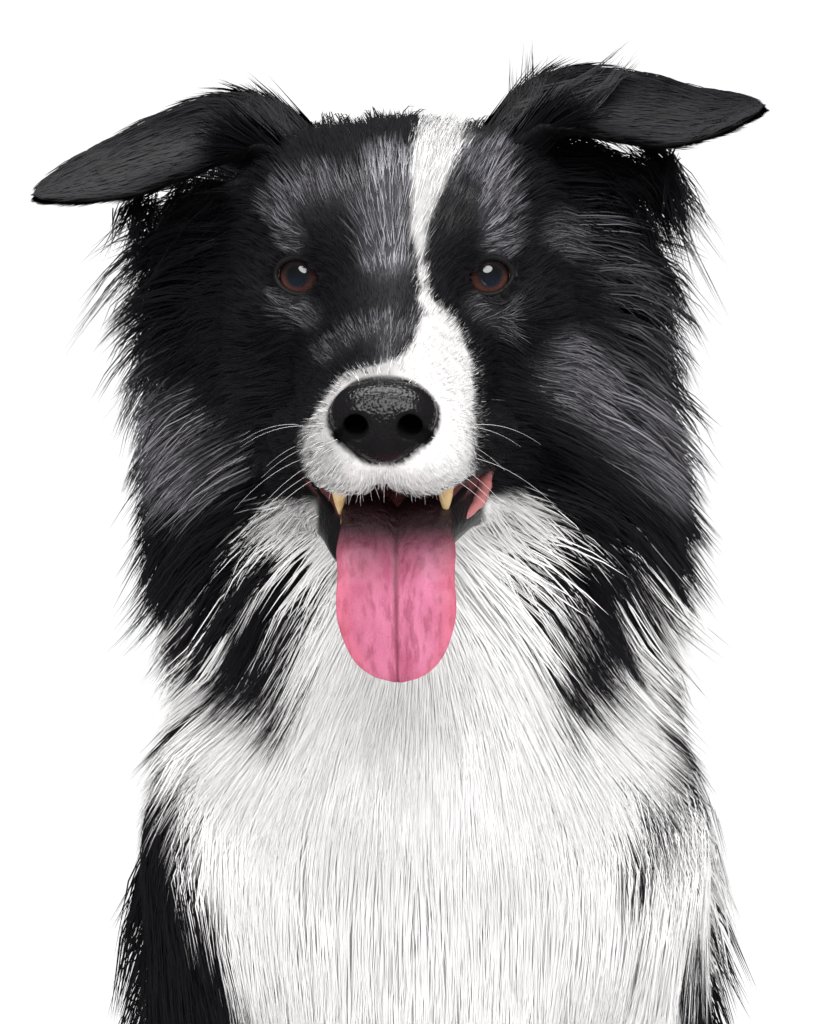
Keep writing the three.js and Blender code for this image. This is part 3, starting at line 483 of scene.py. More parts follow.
# -------------------------------------------------------------------------------------------- mesh making
def mesh_object(name: str, vertices: Array, faces: Array, smooth: bool = True) -> bpy.types.Object:
    """A mesh object at the origin from vertices in the dog's frame and faces of one size.

    Args:
        name: The piece's name.
        vertices: Places in the dog's frame.
        faces: Indices, one row for each face.
        smooth: Whether faces shade as one surface.

    Returns:
        The new object, linked to the scene.
    """
    mesh = bpy.data.meshes.new(name)
    count, sides = faces.shape
    mesh.vertices.add(len(vertices))
    mesh.vertices.foreach_set("co", placed(vertices).astype(np.float32).ravel())
    mesh.loops.add(count * sides)
    mesh.loops.foreach_set("vertex_index", faces.astype(np.int32).ravel())
    mesh.polygons.add(count)
    mesh.polygons.foreach_set("loop_start", np.arange(0, count * sides, sides, dtype=np.int32))
    mesh.polygons.foreach_set("use_smooth", np.full(count, smooth))
    mesh.update(calc_edges=True)
    mesh.validate()
    piece = bpy.data.objects.new(name, mesh)
    bpy.context.scene.collection.objects.link(piece)
    return piece


def add_attribute(piece: bpy.types.Object, name: str, values: Array) -> None:
    """Stores one number for each vertex."""
    attribute = piece.data.attributes.new(name, "FLOAT", "POINT")
    attribute.data.foreach_set("value", values.astype(np.float32).ravel())


def grid_faces(rows: int, columns: int, closed: bool = True) -> Array:
    """Quads of a grid of rows by columns, whose columns join up if closed."""
    i, j = np.meshgrid(np.arange(rows - 1), np.arange(columns if closed else columns - 1), indexing="ij")
    k = (j + 1) % columns
    return np.stack([i * columns + j, i * columns + k, (i + 1) * columns + k, (i + 1) * columns + j],
                    axis=-1).reshape(-1, 4)


def finish_shell(name: str, rings: Array) -> bpy.types.Object:
    """A closed shell from rings of points, rows by columns by 3, with a fan of triangles at each end."""
    rows, columns = rings.shape[:2]
    caps = np.stack([rings[0].mean(axis=0), rings[-1].mean(axis=0)])
    vertices = np.vstack([rings.reshape(-1, 3), caps])
    faces = grid_faces(rows, columns)
    j = np.arange(columns)
    k = (j + 1) % columns
    start, end, last_row = rows * columns, rows * columns + 1, (rows - 1) * columns
    first = np.stack([np.full(columns, start), k, j], axis=-1)
    last = np.stack([np.full(columns, end), last_row + j, last_row + k], axis=-1)
    triangles = np.vstack([faces[:, [0, 1, 2]], faces[:, [0, 2, 3]], first, last])
    piece = mesh_object(name, vertices, triangles)
    outward(piece)
    return piece


def outward(piece: bpy.types.Object) -> None:
    """Turns the faces of a closed piece outwards, by the sign of its volume."""
    mesh = piece.data
    co = np.empty(len(mesh.vertices) * 3, np.float32)
    mesh.vertices.foreach_get("co", co)
    mesh.calc_loop_triangles()
    tri = np.empty(len(mesh.loop_triangles) * 3, np.int32)
    mesh.loop_triangles.foreach_get("vertices", tri)
    a, b, c = np.moveaxis(co.reshape(-1, 3)[tri.reshape(-1, 3)].astype(float), 1, 0)
    if np.einsum("ij,ij->", a, np.cross(b, c)) < 0:
        mesh.flip_normals()
    mesh.update()


def tube(name: str, path: Array, radii: Array, sides: int = 10, closed: bool = False) -> bpy.types.Object:
    """A round tube along a path.

    Each ring lies square to the path: its two axes come from the tangent and a fixed side direction that is
    carried along, and its radius follows radii.

    Args:
        name: The piece's name.
        path: Centre points.
        radii: A radius for each point.
        sides: Points in each ring.
        closed: Whether the path is a loop.

    Returns:
        The tube, closed at its ends or joined to itself.
    """
    tangent = unit(np.roll(path, -1, 0) - np.roll(path, 1, 0) if closed else np.gradient(path, axis=0))
    hint = np.array([0.0, -1.0, 0.35]) if abs(tangent[:, 1]).mean() < 0.8 else np.array([1.0, 0.0, 0.0])
    side = unit(np.cross(tangent, hint))
    up = np.cross(side, tangent)
    turn = np.linspace(0, 2 * np.pi, sides, endpoint=False)
    rings = path[:, None] + radii[:, None, None] * (
        side[:, None] * np.cos(turn)[None, :, None] + up[:, None] * np.sin(turn)[None, :, None])
    if not closed:
        return finish_shell(name, rings)
    looped = np.vstack([rings, rings[:1]])
    faces = grid_faces(len(path) + 1, sides) % (len(path) * sides)
    piece = mesh_object(name, looped[:-1].reshape(-1, 3), faces)
    outward(piece)
    return piece


def joined(name: str, pieces: Sequence[bpy.types.Object]) -> bpy.types.Object:
    """Several mesh objects made one."""
    with bpy.context.temp_override(active_object=pieces[0], selected_editable_objects=list(pieces)):
        bpy.ops.object.join()
    pieces[0].name = pieces[0].data.name = name
    return pieces[0]


# ----------------------------------------------------------------------------------------- shader building
class Number:
    """A number in a material, with the arithmetic of Python."""

    def __init__(self, shader: "Shader", socket: bpy.types.NodeSocket) -> None:
        self.shader = shader
        self.socket = socket

    def maths(self, operation: str, *others: "Number | float") -> "Number":
        """A Math node on this number and others."""
        values = {i + 1: getattr(o, "socket", o) for i, o in enumerate(others)}
        return self.shader.number("ShaderNodeMath", {"operation": operation}, {0: self.socket, **values})

    def __add__(self, other: "Number | float") -> "Number":
        """The sum."""
        return self.maths("ADD", other)

    __radd__ = __add__

    def __mul__(self, other: "Number | float") -> "Number":
        """The product."""
        return self.maths("MULTIPLY", other)

    __rmul__ = __mul__

    def __sub__(self, other: "Number | float") -> "Number":
        """The difference."""
        return self.maths("SUBTRACT", other)

    def __rsub__(self, other: float) -> "Number":
        """The difference from a plain number."""
        return (self * -1.0) + other

    def __pow__(self, other: float) -> "Number":
        """The power."""
        return self.maths("POWER", other)

    def steps(self, low: float, high: float) -> "Number":
        """Rises smoothly from 0 at low to 1 at high."""
        return self.shader.number("ShaderNodeMapRange", {"interpolation_type": "SMOOTHSTEP"},
                                  {0: self.socket, 1: low, 2: high, 3: 0.0, 4: 1.0})


class Shader:
    """A material under construction, with one principled surface."""

    def __init__(self, name: str, **constants: float | tuple[float, ...]) -> None:
        self.material = bpy.data.materials.new(name)
        self.material.use_nodes = True
        self.tree = self.material.node_tree
        self.surface = self.tree.nodes["Principled BSDF"]
        for key, value in constants.items():
            self.surface.inputs[key.replace("_", " ")].default_value = value

    def node(self, kind: str, settings: dict[str, object] | None = None,
             inputs: dict[int | str, object] | None = None) -> bpy.types.Node:
        """Adds a node.

        Args:
            kind: The node's type.
            settings: Its properties, set first.
            inputs: Values or links for its sockets.

        Returns:
            The node.
        """
        node = self.tree.nodes.new(kind)
        for key, value in (settings or {}).items():
            setattr(node, key, value)
        for key, value in (inputs or {}).items():
            value = getattr(value, "socket", value)
            if isinstance(value, bpy.types.NodeSocket):
                self.tree.links.new(value, node.inputs[key])
            else:
                node.inputs[key].default_value = value
        return node

    def number(self, kind: str, settings: dict[str, object] | None = None,
               inputs: dict[int | str, object] | None = None, output: int | str = 0) -> Number:
        """Adds a node and gives one of its outputs as a number."""
        return Number(self, self.node(kind, settings, inputs).outputs[output])

    def attribute(self, name: str) -> Number:
        """A number stored on the mesh."""
        return self.number("ShaderNodeAttribute", {"attribute_name": name}, output="Fac")

    def place(self) -> bpy.types.NodeSocket:
        """Object coordinates."""
        return self.node("ShaderNodeTexCoord").outputs["Object"]

    def noise(self, scale: float, detail: float = 3.0,
              stretch: tuple[float, float, float] = (1, 1, 1)) -> Number:
        """Noise from about 0 to 1, with features of 1 / scale metres, stretched along the axes."""
        spot = self.node("ShaderNodeMapping", {}, {"Vector": self.place(), "Scale": stretch}).outputs[0]
        return self.number("ShaderNodeTexNoise", {}, {"Vector": spot, "Scale": scale, "Detail": detail})

    def mix(self, share: Number | float, a: object, b: object) -> bpy.types.NodeSocket:
        """A colour between a and b."""
        node = self.node("ShaderNodeMix", {"data_type": "RGBA"}, {0: share})
        for index, colour in ((6, a), (7, b)):
            if isinstance(colour, bpy.types.NodeSocket):
                self.tree.links.new(colour, node.inputs[index])
            else:
                node.inputs[index].default_value = (*colour, 1.0)
        return node.outputs[2]

    def bump(self, height: Number, distance: float, strength: float = 1.0) -> None:
        """Raises the surface by a height times a distance in metres."""
        inputs = {"Height": height, "Distance": distance, "Strength": strength}
        node = self.node("ShaderNodeBump", {}, inputs)
        self.tree.links.new(node.outputs[0], self.surface.inputs["Normal"])

    def feed(self, **links: object) -> "Shader":
        """Links what varies to the surface's sockets."""
        for key, value in links.items():
            value = getattr(value, "socket", value)
            self.tree.links.new(value, self.surface.inputs[key.replace("_", " ")])
        return self


Colour = tuple[float, float, float]
BLACK_SKIN: Colour = (0.010, 0.009, 0.010)
BLACK_HAIR: Colour = (0.0045, 0.0042, 0.0052)
BLACK_TIPS: Colour = (0.0210, 0.0190, 0.0240)
WHITE_HAIR: Colour = (0.90, 0.89, 0.885)
WHITE_ROOT: Colour = (0.89, 0.875, 0.865)
# A bluish grey that paints the lamps' sheen on the black coat.
SHEEN_GREY: Colour = (0.34, 0.33, 0.365)


@dataclass(frozen=True)
class HairFinish:
    """Glossy hair, black or white by the marking stored on it, with grey mixed into the black as painted
    sheen.
    """

    name: str = "coat_hair"
    roughness: float = 0.34
    shine: float = 0.65

    def make(self) -> bpy.types.Material:
        """Builds the material."""
        shader = Shader(self.name, Specular_IOR_Level=self.shine)
        tone, along, white, grey = (shader.attribute(n) for n in ("tone", "along", "white", "grey"))
        dark = shader.mix(along * tone, BLACK_HAIR, BLACK_TIPS)
        # Painted sheen: grey mixed into black hair where the sheen patches lie.
        black_with_sheen = shader.mix(grey, dark, SHEEN_GREY)
        pale = shader.mix((along + 0.35 * tone).steps(0.0, 0.7), WHITE_ROOT, WHITE_HAIR)
        shader.feed(Base_Color=shader.mix(white, black_with_sheen, pale), Roughness=self.roughness + 0.22 * white)
        return shader.material


@dataclass(frozen=True)
class SkinFinish:
    """Skin coloured as the hair over it, with grey painted sheen under the black, bare and black at the lids
    and lips, and pink in the mouth.
    """

    name: str = "dog_skin"

    def make(self) -> bpy.types.Material:
        """Builds the material."""
        shader = Shader(self.name, Specular_IOR_Level=0.25)
        streaks = shader.noise(900.0, 4.0, (1.0, 0.35, 0.6))
        # Painted sheen: grey streaks in the dark skin where the sheen patches lie.
        dark = shader.mix(shader.attribute("grey") * streaks, BLACK_HAIR, (0.10, 0.096, 0.115))
        pale = shader.mix(streaks, (0.80, 0.77, 0.76), (0.88, 0.86, 0.85))
        furred = shader.mix(shader.attribute("white"), dark, pale)
        bare = shader.attribute("bare")
        mouth = shader.mix(shader.noise(120.0), (0.10, 0.030, 0.032), (0.22, 0.075, 0.078))
        naked = shader.mix(shader.attribute("mouth"), BLACK_SKIN, mouth)
        shader.feed(Base_Color=shader.mix(bare, furred, naked), Roughness=0.62 - 0.3 * bare)
        shader.bump(streaks, 0.0006)
        return shader.material


@dataclass(frozen=True)
class LeatherFinish:
    """Moist pebbled skin of the nose, with painted shade deep in the nostrils."""

    name: str = "nose_leather"

    def make(self) -> bpy.types.Material:
        """Builds the material."""
        shader = Shader(self.name, Specular_IOR_Level=0.42, Coat_Weight=0.0)
        cells = shader.number("ShaderNodeTexVoronoi", {"feature": "SMOOTH_F1"},
                              {"Vector": shader.place(), "Scale": 950.0}, "Distance")
        mottle = shader.noise(90.0)
        deep = shader.attribute("deep")
        skin = shader.mix(mottle, (0.0035, 0.003, 0.0035), (0.010, 0.009, 0.010))
        # Painted shade: near black and matte deep inside the nostrils.
        shader.feed(Base_Color=shader.mix(deep, skin, (0.0008, 0.0006, 0.0006)),
                    Roughness=0.2 + 0.14 * mottle + 0.7 * deep)
        shader.bump(cells * -1.0, 0.0004, 0.7)
        return shader.material


@dataclass(frozen=True)
class LipFinish:
    """Smooth wet black skin of lids and lips."""

    name: str = "lip_skin"
    wetness: float = 0.15
    roughness: float = 0.32

    def make(self) -> bpy.types.Material:
        """Builds the material."""
        shader = Shader(self.name, Specular_IOR_Level=0.35, Coat_Weight=self.wetness, Coat_Roughness=0.2)
        mottle = shader.noise(240.0)
        shader.feed(Base_Color=shader.mix(mottle, (0.004, 0.0035, 0.004), (0.010, 0.008, 0.009)),
                    Roughness=self.roughness + 0.2 * mottle)
        shader.bump(mottle, 0.0003)
        return shader.material


@dataclass(frozen=True)
class TongueFinish:
    """Moist pink with fine bumps, paler to the tip, with painted shade in its wrinkles, along its middle
    groove and over its back inside the mouth.
    """

    name: str = "tongue_flesh"

    def make(self) -> bpy.types.Material:
        """Builds the material."""
        shader = Shader(self.name, Specular_IOR_Level=0.4, Subsurface_Weight=0.1, Subsurface_Scale=0.004,
                        Subsurface_Radius=(1.0, 0.35, 0.25), Coat_Weight=0.2, Coat_Roughness=0.14)
        along, across = shader.attribute("along"), shader.attribute("across")
        cloud = shader.noise(60.0, 3.0, (1.0, 1.0, 0.5))
        wrinkles = shader.noise(420.0, 4.0, (1.0, 1.0, 0.28))
        bumps = shader.noise(2100.0, 2.0)
        body = shader.mix(cloud.steps(0.3, 0.7), (0.42, 0.085, 0.165), (0.60, 0.180, 0.300))
        # Painted shade: darker red in the wrinkles that the bump raises.
        mottle = shader.mix(wrinkles.steps(0.48, 0.66) * 0.5, body, (0.25, 0.035, 0.075))
        edge = shader.mix(across.steps(0.6, 1.0) * 0.45, mottle, (0.62, 0.13, 0.18))
        # Painted shade along the middle groove.
        crease = shader.mix((1.0 - across.steps(0.0, 0.07)) * 0.75, edge, (0.20, 0.028, 0.055))
        # Painted shade over the back of the tongue, inside the mouth.
        shader.feed(Base_Color=shader.mix(along.steps(0.50, 0.74), (0.020, 0.006, 0.009), crease),
                    Roughness=0.34 + 0.2 * bumps)
        folds = shader.noise(150.0, 2.0, (1.0, 1.0, 0.35))
        shader.bump(bumps * 0.3 + wrinkles + folds * 2.0, 0.0016, 1.0)
        return shader.material


@dataclass(frozen=True)
class EyeFinish:
    """A wet eyeball: dark pupil, brown iris with spokes, dark ring and a sliver of white, with painted shade
    from the upper lid over iris and pupil and a painted blue-grey reflection low in the pupil.
    """

    side: Side

    def make(self) -> bpy.types.Material:
        """Builds the material from the angle to the gaze, in radians, stored on the mesh."""
        shader = Shader(f"eyeball_{self.side.name.lower()}", Roughness=0.5, Specular_IOR_Level=0.05,
                        Coat_Weight=1.0, Coat_Roughness=0.01, Coat_IOR=1.85)
        angle, turn, rise = (shader.attribute(n) for n in ("angle", "turn", "rise"))
        grain = shader.number("ShaderNodeTexNoise", {"noise_dimensions": "1D"},
                              {"W": turn, "Scale": 26.0, "Detail": 4.0})
        iris = shader.mix(grain, (0.040, 0.015, 0.010), (0.155, 0.060, 0.042))
        # Painted shade: the iris darkens towards the top, under the upper lid.
        shaded = shader.mix(rise.steps(-0.35, 0.25), iris, (0.012, 0.008, 0.009))
        # Painted reflection: the pupil is blue-grey low down, with painted shade to black at the top.
        centre = shader.mix(rise.steps(-0.30, 0.20), (0.006, 0.010, 0.018), (0.0015, 0.002, 0.003))
        pupil = shader.mix(angle.steps(0.26, 0.52), centre, shaded)
        ring = shader.mix(angle.steps(0.60, 0.70), pupil, (0.010, 0.005, 0.004))
        white = shader.mix(shader.noise(400.0), (0.36, 0.22, 0.20), (0.58, 0.46, 0.43))
        shader.feed(Base_Color=shader.mix(angle.steps(0.745, 0.80), ring, white))
        return shader.material


@dataclass(frozen=True)
class PlainFinish:
    """A hard surface between two colours, slightly clouded and rough, for teeth, claws and the floor."""

    name: str
    low: Colour
    high: Colour
    roughness: float
    scale: float = 200.0

    def make(self) -> bpy.types.Material:
        """Builds the material."""
        shader = Shader(self.name, Specular_IOR_Level=0.5)
        cloud = shader.noise(self.scale)
        shader.feed(Base_Color=shader.mix(cloud, self.low, self.high),
                    Roughness=self.roughness + 0.15 * cloud)
        shader.bump(cloud, 0.0002)
        return shader.material


TOOTH = PlainFinish("tooth_enamel", (0.42, 0.24, 0.08), (0.66, 0.50, 0.28), 0.2)
GUM = PlainFinish("mouth_lining", (0.36, 0.10, 0.10), (0.60, 0.25, 0.24), 0.22, 160.0)
CLAW = PlainFinish("claw_horn", (0.030, 0.024, 0.020), (0.11, 0.085, 0.065), 0.3)
WHISKER = PlainFinish("whisker_hair", (0.46, 0.45, 0.45), (0.70, 0.69, 0.69), 0.3)
FLOOR = PlainFinish("studio_floor", (0.80, 0.80, 0.80), (0.83, 0.83, 0.83), 0.6, 3.0)


def dress(piece: bpy.types.Object, material: bpy.types.Material, slot: str,
          *nodes: str) -> bpy.types.Object:
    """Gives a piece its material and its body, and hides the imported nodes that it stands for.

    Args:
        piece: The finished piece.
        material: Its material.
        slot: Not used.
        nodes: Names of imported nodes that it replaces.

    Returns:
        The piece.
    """
    piece.data.materials.clear()
    piece.data.materials.append(material)
    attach(piece, "root")
    if nodes:
        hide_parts(*nodes)
    log.info("%s: %d faces", piece.name, len(piece.data.polygons))
    return piece


# ------------------------------------------------------------------------------------------------ markings
@dataclass(frozen=True)
class SheenPatch:
    """A band of black hair with grey among it that paints the coat's sheen, along a line of (x, z) places on
    the head.
    """

    line: Sequence[tuple[float, float]]
    radius: float
    strength: float

    def share(self, x: Array, z: Array) -> Array:
        """The strength near the line, which fades from 0.5 to 1.4 radii from it."""
        q = np.stack([x, z], axis=-1)
        knots = np.array(self.line, float)
        best = np.full(x.shape, 1e9)
        for a, b in zip(knots, knots[1:] if len(knots) > 1 else knots):
            way = b - a
            t = np.clip((q - a) @ way / max(way @ way, 1e-9), 0, 1)
            best = np.minimum(best, np.linalg.norm(q - a - t[..., None] * way, axis=-1))
        return self.strength * (1 - smoothstep(best / self.radius, 0.5, 1.4))


class Markings:
    """Where the coat is white, and where grey hairs among the black paint its sheen."""

    # Bands of painted sheen, where the lamps' glints fall on the black coat.
    sheen_patches = (
        SheenPatch(((-2, 36), (-3, 22), (-2, 7)), 9.0, 0.8),
        SheenPatch(((-40, 23), (-34, 30), (-26, 32), (-17, 30), (-9, 24)), 6.0, 0.45),
        SheenPatch(((-40, 23), (-37, 17), (-35, 12)), 4.5, 0.45),
        SheenPatch(((37, 10), (37, 22), (35, 32), (28, 42)), 6.0, 0.62),
        SheenPatch(((22, 36), (28, 42), (38, 46)), 5.0, 0.4),
        SheenPatch(((-38, -9), (-30, -15)), 5.5, 0.36),
        SheenPatch(((30, -11), (38, -17)), 5.5, 0.40),
        SheenPatch(((-22, -28), (-13, -21), (-5, -19)), 4.0, 0.32),
        SheenPatch(((0.5, -16), (0.5, -30)), 2.8, 0.5),
        SheenPatch(((11, -16), (4, -21)), 3.5, 0.4),
        SheenPatch(((-60, 40), (-74, 48)), 8.0, 0.3),
        SheenPatch(((60, 16), (70, 24)), 9.0, 0.4),
        SheenPatch(((76, 10), (88, -8), (92, -26)), 12.0, 0.22),
        SheenPatch(((-102, -44), (-88, -54), (-72, -68)), 15.0, 0.80),
        SheenPatch(((64, -36), (78, -48), (92, -62)), 15.0, 0.70),
    )
    blaze_levels = (-14, -8, 0, 8, 17, 28, 38, 48, 60, 75)
    blaze_left = (13.4, 11.2, 10.2, 8.2, 7.0, 7.7, 7.4, 7.2, 8.0, 9.0)
    blaze_right = (18.0, 14.4, 12.5, 11.9, 12.4, 15.6, 21.0, 25.0, 25.0, 24.0)
    patch_levels = (-84, -78, -70, -58, -46, -33, -27, -21, -12, -8, -4)
    patch_right = (20, 25, 28.5, 31.0, 30.6, 29.6, 28.0, 25.0, 18.5, 14.5, 12.5)
    patch_left_levels = (
        -84, -76, -68, -58, -53, -48, -44, -40, -36, -33, -31, -29, -27, -24, -21, -12, -8, -4)
    patch_left = (
        -20, -25, -28, -29.5, -29, -26, -22.5, -19.5, -17, -13, -6, 1, 6.5, 9.0, 11.0, 13.4, 12.4, 11.6)
    throat_levels = (400, 410, 419, 434, 445, 456, 467, 478, 488, 496)
    throat_right = (-48, -51, -54, -57, -60, -63, -65, -65, -58, -34)
    throat_left = (49, 48, 44, 46, 50, 54, 55, 51, 42, 28)
    lobe_across = (-110, -95, -84, -73, -57, 54, 64, 79, 100)
    lobe_ends = (445, 433, 417, 408, 402, 402, 413, 429, 452)
    bib_levels = (200, 290, 318, 350, 362, 376, 395, 412, 424, 440, 470)
    bib_right = (-64, -71, -84, -90, -92, -93, -95, -97, -98, -99, -102)
    bib_left = (96, 100, 103, 102, 92, 89, 92, 97, 102, 102, 102)

    @staticmethod
    def ragged(edge: Array, p: Array, width: float, wobble: float) -> Array:
        """A soft mask, 1 where edge is above 0, whose line wanders by wobble."""
        wave = ripple(p, 34.0, 1.0) * wobble + ripple(p, 9.0, 2.0) * wobble * 0.35
        return smoothstep(edge + wave, -width, width)

    def face(self, p: Array) -> Array:
        """The blaze, the white of the muzzle and its wide patch on the dog's left."""
        x, y, z = np.moveaxis(from_head(p), -1, 0)
        left, right = (np.interp(z, self.blaze_levels, e) for e in (self.blaze_left, self.blaze_right))
        blaze = np.where((z > -13) & (y < 72), np.minimum(x - left, right - x), -9.0)
        left = np.interp(z, self.patch_left_levels, self.patch_left)
        patch = np.minimum(np.interp(z, self.patch_levels, self.patch_right) - x, x - left)
        front = np.where((y < -6 + 0.5 * np.maximum(x, 0)) & (z < -4), patch, -9.0)
        return self.ragged(np.maximum(blaze, front), p, 1.1, 1.0)

    def body(self, p: Array) -> Array:
        """The throat, the bib under the ruff's black lobes, the underside, the legs and the tail's tip."""
        x, y, z = np.moveaxis(p, -1, 0)
        throat = np.minimum(np.interp(z, self.throat_levels, self.throat_left) - x,
                            x - np.interp(z, self.throat_levels, self.throat_right))
        bib = np.minimum(np.interp(z, self.bib_levels, self.bib_left) - x,
                         x - np.interp(z, self.bib_levels, self.bib_right))
        bib = np.maximum(throat, np.minimum(bib, np.interp(x, self.lobe_across, self.lobe_ends) - z))
        bib = np.where((y < -30) & (z < 496), bib, -40.0)
        down = 384.0 - z
        streak = np.maximum(np.abs(x - 91.0 + 0.26 * down) - 6.5 + 0.06 * down, np.abs(down) - 46.0)
        bib = np.minimum(bib, np.where(x > 60, streak, 90.0))
        patch = 11.0 - np.hypot(x - 109.0, (z - 330.0) * 0.34)
        patch = np.where(y < -40, patch, -40.0)
        legs = np.where((y < 20) & (z < 250), 30.0, -40.0)
        under = np.where((z < 240) & (y < 120) & (np.abs(x) < 48), 20.0, -40.0)
        hind = np.where((z < 58) & (y < 260) & (np.abs(x) > 58), 10.0, -40.0)
        tip = np.where(y > 300, p @ np.array([0.66, 0.75, 0.0]) - 388.0, -40.0)
        return self.ragged(np.max([bib, patch, legs, under, hind, tip], axis=0), p, 2.0, 3.6)

    def white(self, p: Array) -> Array:
        """The share of white at a place, from 0 to 1."""
        x, y, z = np.moveaxis(from_head(p), -1, 0)
        on_face = smoothstep(z, -84.0, -78.0) * smoothstep(-y, -100.0, -80.0)
        chin = (y < 4) & (z < -84) & (z > -125) & (np.abs(x) < 40)
        return blend(np.maximum(self.body(p), chin * 1.0), self.face(p), on_face)

    def pepper(self, p: Array) -> Array:
        """How much darker single white hairs may be: most on the right of the muzzle and above the nose."""
        x, y, z = np.moveaxis(from_head(p), -1, 0)
        right = smoothstep(-x, 2.0, 20.0) * smoothstep(-y, -8.0, 10.0) * smoothstep(-z, 30.0, 40.0)
        above = smoothstep(z, -42.0, -34.0) * smoothstep(-x, -12.0, 0.0) * smoothstep(-z, -2.0, 10.0)
        below = 0.5 * smoothstep(-z, 62.0, 72.0) * (y < -40)
        brow = 0.6 * smoothstep(z, -6.0, 6.0)
        return 0.10 + 0.85 * np.maximum(np.max([right, above, below], axis=0) * (y < 10), brow)

    def grey(self, p: Array) -> Array:
        """The share of grey hairs that paint sheen at a place, from 0 to 1."""
        x, y, z = np.moveaxis(from_head(p), -1, 0)
        share = np.max([patch.share(x, z) for patch in self.sheen_patches], axis=0)
        fades = smoothstep(-y, -125.0, -95.0) * np.clip(0.85 + 0.3 * ripple(p, 12.0, 5.0), 0.3, 1.2)
        return np.clip(share * fades, 0, 1)


MARKINGS = Markings()


# ------------------------------------------------------------------------------------------------ the skin
def net_surface(axes: Sequence[Array], values: Array) -> tuple[Array, Array]:
    """Nets the zero surface of values on a grid.

    A cell whose corners lie on both sides holds one vertex, the mean of the crossings on its edges, and each
    crossed grid line joins the four cells round it in a quad.

    Args:
        axes: The grid's lines along x, y and z.
        values: Distances at their crossings, negative inside.

    Returns:
        Vertices and quads.
    """
    inside = values < 0
    corner = [(a, b, c) for a in (0, 1) for b in (0, 1) for c in (0, 1)]
    shape = tuple(n - 1 for n in values.shape)
    part = lambda grid, o: grid[o[0]:o[0] + shape[0], o[1]:o[1] + shape[1], o[2]:o[2] + shape[2]]
    count = sum(part(inside, o).astype(np.int8) for o in corner)
    cells = np.nonzero((count > 0) & (count < 8))
    number = -np.ones(shape, np.int64)
    number[cells] = np.arange(len(cells[0]))
    total, hits = np.zeros((len(cells[0]), 3)), np.zeros(len(cells[0]))
    for a in range(3):
        for o in (c for c in corner if c[a] == 0):
            lo = [cells[d] + o[d] for d in range(3)]
            hi = [lo[d] + (d == a) for d in range(3)]
            v0, v1 = values[tuple(lo)], values[tuple(hi)]
            cross = (v0 < 0) != (v1 < 0)
            t = np.where(cross, v0 / np.where(v0 == v1, 1.0, v0 - v1), 0.0)
            spot = np.stack([axes[d][lo[d]] for d in range(3)], axis=-1)
            spot[:, a] += t * (axes[a][hi[a]] - axes[a][lo[a]])
            total += spot * cross[:, None]
            hits += cross
    vertices = total / hits[:, None]
    quads = []
    for a in range(3):
        b, c = (a + 1) % 3, (a + 2) % 3
        near = inside.take(range(shape[a]), axis=a)
        far = inside.take(range(1, shape[a] + 1), axis=a)
        edge = np.array(np.nonzero(near != far))
        keep = (edge[b] > 0) & (edge[c] > 0) & (edge[b] < shape[b]) & (edge[c] < shape[c])
        edge = edge[:, keep]
        outwards = near[tuple(edge)]
        ring = []
        for db, dc in ((1, 1), (0, 1), (0, 0), (1, 0)):
            cell = edge.copy()
            cell[b] -= db
            cell[c] -= dc
            ring.append(number[tuple(cell)])
        quad = np.stack(ring, axis=-1)
        quads.append(np.where(outwards[:, None], quad, quad[:, ::-1]))
    return vertices, np.vstack(quads)


